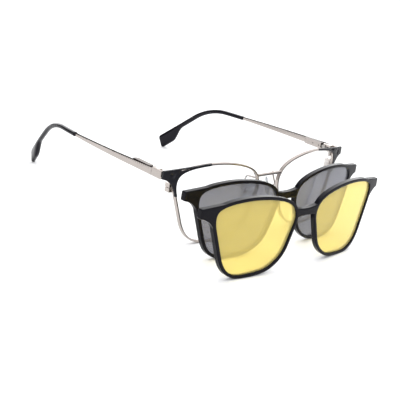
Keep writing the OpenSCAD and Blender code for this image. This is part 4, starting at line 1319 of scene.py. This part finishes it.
BENT_WIRE = bent_wire_tree()
for name, side in SIDES.items():
    line, matrix = wire_lines[name], pad_frame(name)
    arm_z = floor_z / MM + ARM_HEIGHT
    after = np.roll(line, -1, 0)
    root = min(a[0] + (b[0] - a[0]) * (arm_z - a[1]) / (b[1] - a[1])
               for a, b in zip(line, after) if (a[1] - arm_z) * (b[1] - arm_z) < 0)
    pivot = pad_pivots[name] / MM
    start = Vector(front_sheets[name].world(root, arm_z, EYEWIRE_DEPTH - ARM_IN_EYEWIRE)) / MM
    near_wire = Vector((root, pivot.y, arm_z)) + FIRST_BEND
    near_pad = Vector((abs(pivot.x), pivot.y, pivot.z)) + SECOND_BEND
    bends = [Vector((side * bend.x, bend.y, bend.z)) for bend in (near_wire, near_pad)]
    path = [start, *bends, (matrix @ Vector((CLIP_BACK * MM, 0, 0))) / MM]
    wire = run_tree(BENT_WIRE, path_mesh(path), "frame_metal", Radius=WIRE_RADIUS * MM, Bend=WIRE_BEND * MM)
    arm = bmesh.new()
    arm.from_mesh(wire)
    fold = np.array([(CLIP_FRONT, -CLIP_HALF), (CLIP_BACK, -CLIP_HALF), (CLIP_BACK, CLIP_HALF),
                     (CLIP_FRONT, CLIP_HALF), (CLIP_FRONT, CLIP_HALF - CLIP_T),
                     (CLIP_BACK - CLIP_T, CLIP_HALF - CLIP_T), (CLIP_BACK - CLIP_T, CLIP_T - CLIP_HALF),
                     (CLIP_FRONT, CLIP_T - CLIP_HALF)])
    plate([smoothed(eased(fold, FOLD_RADIUS))], -CLIP_REACH, CLIP_REACH, CLIP_SOFT, CLIP_SOFT,
          in_frame(matrix, (0, 1, 2)), bm=arm, steps=2)
    to_piece(f"arm_wire_{name}", arm, "front", "frame_metal", [f"pad_arm_{name}"])


# %% [markdown]
# ## The nose pads
# A pad is cast in one piece: an oval cushion, a little wider above than below, with a crowned face
# and a small boss on its back. The cushion is a stack of ovals from the middle of one face round the
# edge to the other, which gives even faces where a scaled sphere would bunch them at its poles.

# %% Model the pads
PAD_LENGTH = 13.0
PAD_WIDTH = 7.2
PAD_TAPER = 0.12
PAD_MID = -2.25
PAD_HALF = 0.98
PAD_CROWN = 0.42
RIM_FULLNESS = 0.55
FACE_FULLNESS = 0.9
PAD_BACK = -1.25
PAD_BOSS_RADIUS = 0.8
PAD_BOSS_HALF = 0.6
PAD_BOSS_INSIDE = 0.3
PAD_BOSS_SOFT = 0.1
PAD_BOSS_STEP = 12


def pad_skin(place, around=56, rows=14):
    """A crowned cushion as ovals from the middle of one face round the rim to the other."""
    bm = bmesh.new()
    poles, rings = [], []
    for row in range(rows + 1):
        t = math.pi * row / rows
        reach = math.sin(t) ** RIM_FULLNESS if 0 < row < rows else 0.0
        lift = math.copysign(abs(math.cos(t)) ** FACE_FULLNESS, math.cos(t))
        lift *= PAD_HALF - PAD_CROWN * reach ** 2
        depth = PAD_MID + PAD_CROWN * reach ** 2 - lift
        if reach == 0:
            poles.append(bm.verts.new(place(depth, 0, 0)))
            continue
        ring = []
        for k in range(around):
            a = 2 * math.pi * k / around
            width = PAD_WIDTH / 2 * math.sin(a) * (1 + PAD_TAPER * math.cos(a))
            ring.append(bm.verts.new(place(depth, reach * width, reach * PAD_LENGTH / 2 * math.cos(a))))
        rings.append(ring)
    for lower, upper in zip(rings, rings[1:]):
        for i in range(around):
            j = (i + 1) % around
            bm.faces.new((lower[i], lower[j], upper[j], upper[i]))
    for pole, ring in zip(poles, (rings[0], rings[-1])):
        for i in range(around):
            bm.faces.new((pole, ring[i], ring[(i + 1) % around]))
    return bm


for name in SIDES:
    matrix = pad_frame(name)
    pad = pad_skin(in_frame(matrix, (0, 1, 2)))
    angles = [math.radians(a) for a in range(-90, 91, PAD_BOSS_STEP)]
    round_end = [(PAD_BOSS_RADIUS * math.cos(a), PAD_BOSS_RADIUS * math.sin(a)) for a in angles]
    foot = PAD_BACK - PAD_BOSS_INSIDE
    boss = np.array([(foot, -PAD_BOSS_RADIUS), *round_end, (foot, PAD_BOSS_RADIUS)])
    plate([smoothed(boss)], -PAD_BOSS_HALF, PAD_BOSS_HALF, PAD_BOSS_SOFT, PAD_BOSS_SOFT,
          in_frame(matrix, (0, 2, 1)), bm=pad, steps=2)
    to_piece(f"pad_cushion_{name}", pad, f"pad_{name}", "pad_silicone", [f"nose_pad_{name}"])


# %% [markdown]
# ## Screws and springs
# A screw is turned on a lathe: half an outline runs round the axis, and a thin saw then cuts the slot.
# The tree does the same, with the half outline as its input. Curve to Mesh carries an outline round a
# circle, so the outline is first moved in by the circle's radius, and its middle lands on the axis. A
# spring is a wire wound at an even rate, so its tree needs only the coil's radius, the wire, the
# number of turns and the length.

# %% The lathe tree and the winding tree
LATHE_RADIUS = 2.0
AXIS_MERGE = 0.004 * MM
SAW_IN_HEADS = 3


def turned_tree():
    tree, start = new_tree("turned_screw", Lathe=0.002, Slot_Width=0.0003, Slot_Depth=0.0003, Head=0.001)
    half = add(tree, "GeometryNodeMeshToCurve", [("Mesh", start.outputs["Geometry"])])
    round_way = add(tree, "GeometryNodeCurvePrimitiveCircle", [("Radius", start.outputs["Lathe"])],
                    Resolution=40)
    turned = add(tree, "GeometryNodeCurveToMesh", [("Curve", round_way.outputs[0]),
                                                   ("Profile Curve", half.outputs[0])])
    solid = add(tree, "GeometryNodeMergeByDistance", [("Geometry", turned.outputs[0])], Distance=AXIS_MERGE)
    saw_length = maths(tree, "MULTIPLY", start.outputs["Head"], SAW_IN_HEADS)
    saw_height = maths(tree, "MULTIPLY", start.outputs["Slot_Depth"], 2)
    size = add(tree, "ShaderNodeCombineXYZ", [("X", saw_length), ("Y", start.outputs["Slot_Width"]),
                                              ("Z", saw_height)])
    saw = add(tree, "GeometryNodeMeshCube", [("Size", size.outputs[0])])
    cut = add(tree, "GeometryNodeMeshBoolean", [("Mesh 1", solid.outputs[0]), ("Mesh 2", saw.outputs[0])],
              operation="DIFFERENCE", solver="MANIFOLD")
    return close_tree(tree, start, cut.outputs[0])


def wound_tree():
    tree, start = new_tree("wound_spring", Coil=0.0007, Wire=0.00013, Turns=7.0, Length=0.006)
    line = add(tree, "GeometryNodeCurveSpiral", [("Rotations", start.outputs["Turns"]),
                                                 ("Start Radius", start.outputs["Coil"]),
                                                 ("End Radius", start.outputs["Coil"]),
                                                 ("Height", start.outputs["Length"])], Resolution=28)
    profile = add(tree, "GeometryNodeCurvePrimitiveCircle", [("Radius", start.outputs["Wire"])],
                  Resolution=10)
    drawn = add(tree, "GeometryNodeCurveToMesh", [("Curve", line.outputs[0]),
                                                  ("Profile Curve", profile.outputs[0])], Fill_Caps=True)
    return close_tree(tree, start, drawn.outputs[0])


TURNED, WOUND = turned_tree(), wound_tree()
print("trees:", TURNED.name, WOUND.name)


# %% [markdown]
# ## Three kinds of slotted screw
# The hinge screws stand upright, the closing screws come up from below, and the pad screws lie across
# their clips. One half outline in real sizes serves all of them, and a matrix puts each one in place.
# The slots of the hinge screws are turned a little, because nobody stops a screw at a neat angle.

# %% Turn the screws
SLOT_WIDTH = 0.26
SLOT_DEPTH = 0.3
END_CHAMFER = 0.08
HEAD_ROUNDING = 0.25
ROUNDING_IN = 0.4
ROUNDING_DOWN = 0.3
HINGE_SCREW = {"shank": 0.6, "head": 0.95, "head_height": 0.5}
CLOSING_SCREW = {"shank": 0.6, "head": 1.0, "head_height": 0.7}
PAD_SCREW = {"shank": 0.4, "head": 0.65, "head_height": 0.25}
HINGE_SLOT_TURN = 25


def turn_screw(kind, name, length, matrix, shank, head, head_height):
    """A slotted screw along +Z whose head ends at the origin, put in place by a matrix."""
    rim = HEAD_ROUNDING * head_height
    half = [(0, -length), (shank - END_CHAMFER, -length), (shank, END_CHAMFER - length),
            (shank, -head_height), (head, -head_height), (head, -rim),
            (head - ROUNDING_IN * rim, -ROUNDING_DOWN * rim), (head - rim, 0), (0, 0)]
    profile = path_mesh([(r - LATHE_RADIUS, -h, 0) for r, h in half])
    mesh = run_tree(TURNED, profile, "screw_steel", Lathe=LATHE_RADIUS * MM,
                    Slot_Width=SLOT_WIDTH * MM, Slot_Depth=SLOT_DEPTH * MM, Head=head * MM)
    mesh.transform(matrix)
    if matrix.determinant() < 0:
        mesh.flip_normals()
    dress(f"slotted_{kind}_screw_{name}", mesh, "front", "screw_steel", [f"{kind}_screw_{name}"])


for name, side in SIDES.items():
    low, high = (Vector(c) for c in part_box(f"hinge_screw_{name}"))
    top = Matrix.Translation(((low.x + high.x) / 2, (low.y + high.y) / 2, high.z))
    turn_screw("hinge", name, (high.z - low.z) / MM,
               top @ Matrix.Rotation(math.radians(HINGE_SLOT_TURN * side), 4, "Z"), **HINGE_SCREW)
    low, high = (Vector(c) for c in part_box(f"closing_screw_{name}"))
    bottom = Matrix.Translation(((low.x + high.x) / 2, (low.y + high.y) / 2, low.z))
    turn_screw("closing", name, (high.z - low.z) / MM, bottom @ Matrix.Rotation(math.pi, 4, "X"),
               **CLOSING_SCREW)
    head_y = -(CLIP_HALF + PAD_SCREW["head_height"])
    head_at = Matrix.Translation((0, head_y * MM, 0)) @ Matrix.Rotation(math.pi / 2, 4, "X")
    turn_screw("pad", name, CLIP_HALF - head_y, pad_frame(name) @ head_at, **PAD_SCREW)


# %% [markdown]
# ## The springs in their boxes
# Each spring box hides a coil spring that pulls the temple in. It is wound to the length of its
# solid. The spring shows only when the box is taken away, but the piece is complete.

# %% Wind the springs
SPRING_WIRE = 0.13
SPRING_TURNS = 7.0

for name, side in SIDES.items():
    low, high = (Vector(c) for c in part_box(f"spring_{name}"))
    long = (high.y - low.y) / MM
    coil = (high.x - low.x) / MM / 2 - SPRING_WIRE
    mesh = run_tree(WOUND, path_mesh([(0, 0, 0), (0, 0, 1)]), "screw_steel", Coil=coil * MM,
                    Wire=SPRING_WIRE * MM, Turns=SPRING_TURNS, Length=(long - 2 * SPRING_WIRE) * MM)
    foot = Matrix.Translation(((low.x + high.x) / 2, low.y + SPRING_WIRE * MM, (low.z + high.z) / 2))
    mesh.transform(foot @ Matrix.Rotation(-math.pi / 2, 4, "X"))
    spring = dress(f"wound_spring_{name}", mesh, f"temple_{name}", "screw_steel", [f"spring_{name}"],
                   even=False)
    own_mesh(spring)
    print(spring.name, "is", round(long, 2), "mm long")


# %% [markdown]
# ## Finishes for the frame's own solids, and the end
# Bushings and their small screws are simple turned parts, and their solids are right as they are, so
# the bushings only get the finish of their slot and the screws a blackened one. The boxes of the
# construction and of the dressed model are written out, because dressing must not change the size.

# %% Write the boxes and finish
model_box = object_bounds()
for title, box in (("construction", cad_box), ("dressed model", model_box)):
    print(title, [[round(value / MM, 2) for value in corner] for corner in box], "mm")
for subpart in frame["record"]["subparts"]:
    piece = nodes[subpart["node"]]
    piece.data.materials.clear()
    small_screw = subpart["node"].startswith("bushing_screw")
    piece.data.materials.append(BLACKENED if small_screw else PAINTS[subpart["material_slot"]])
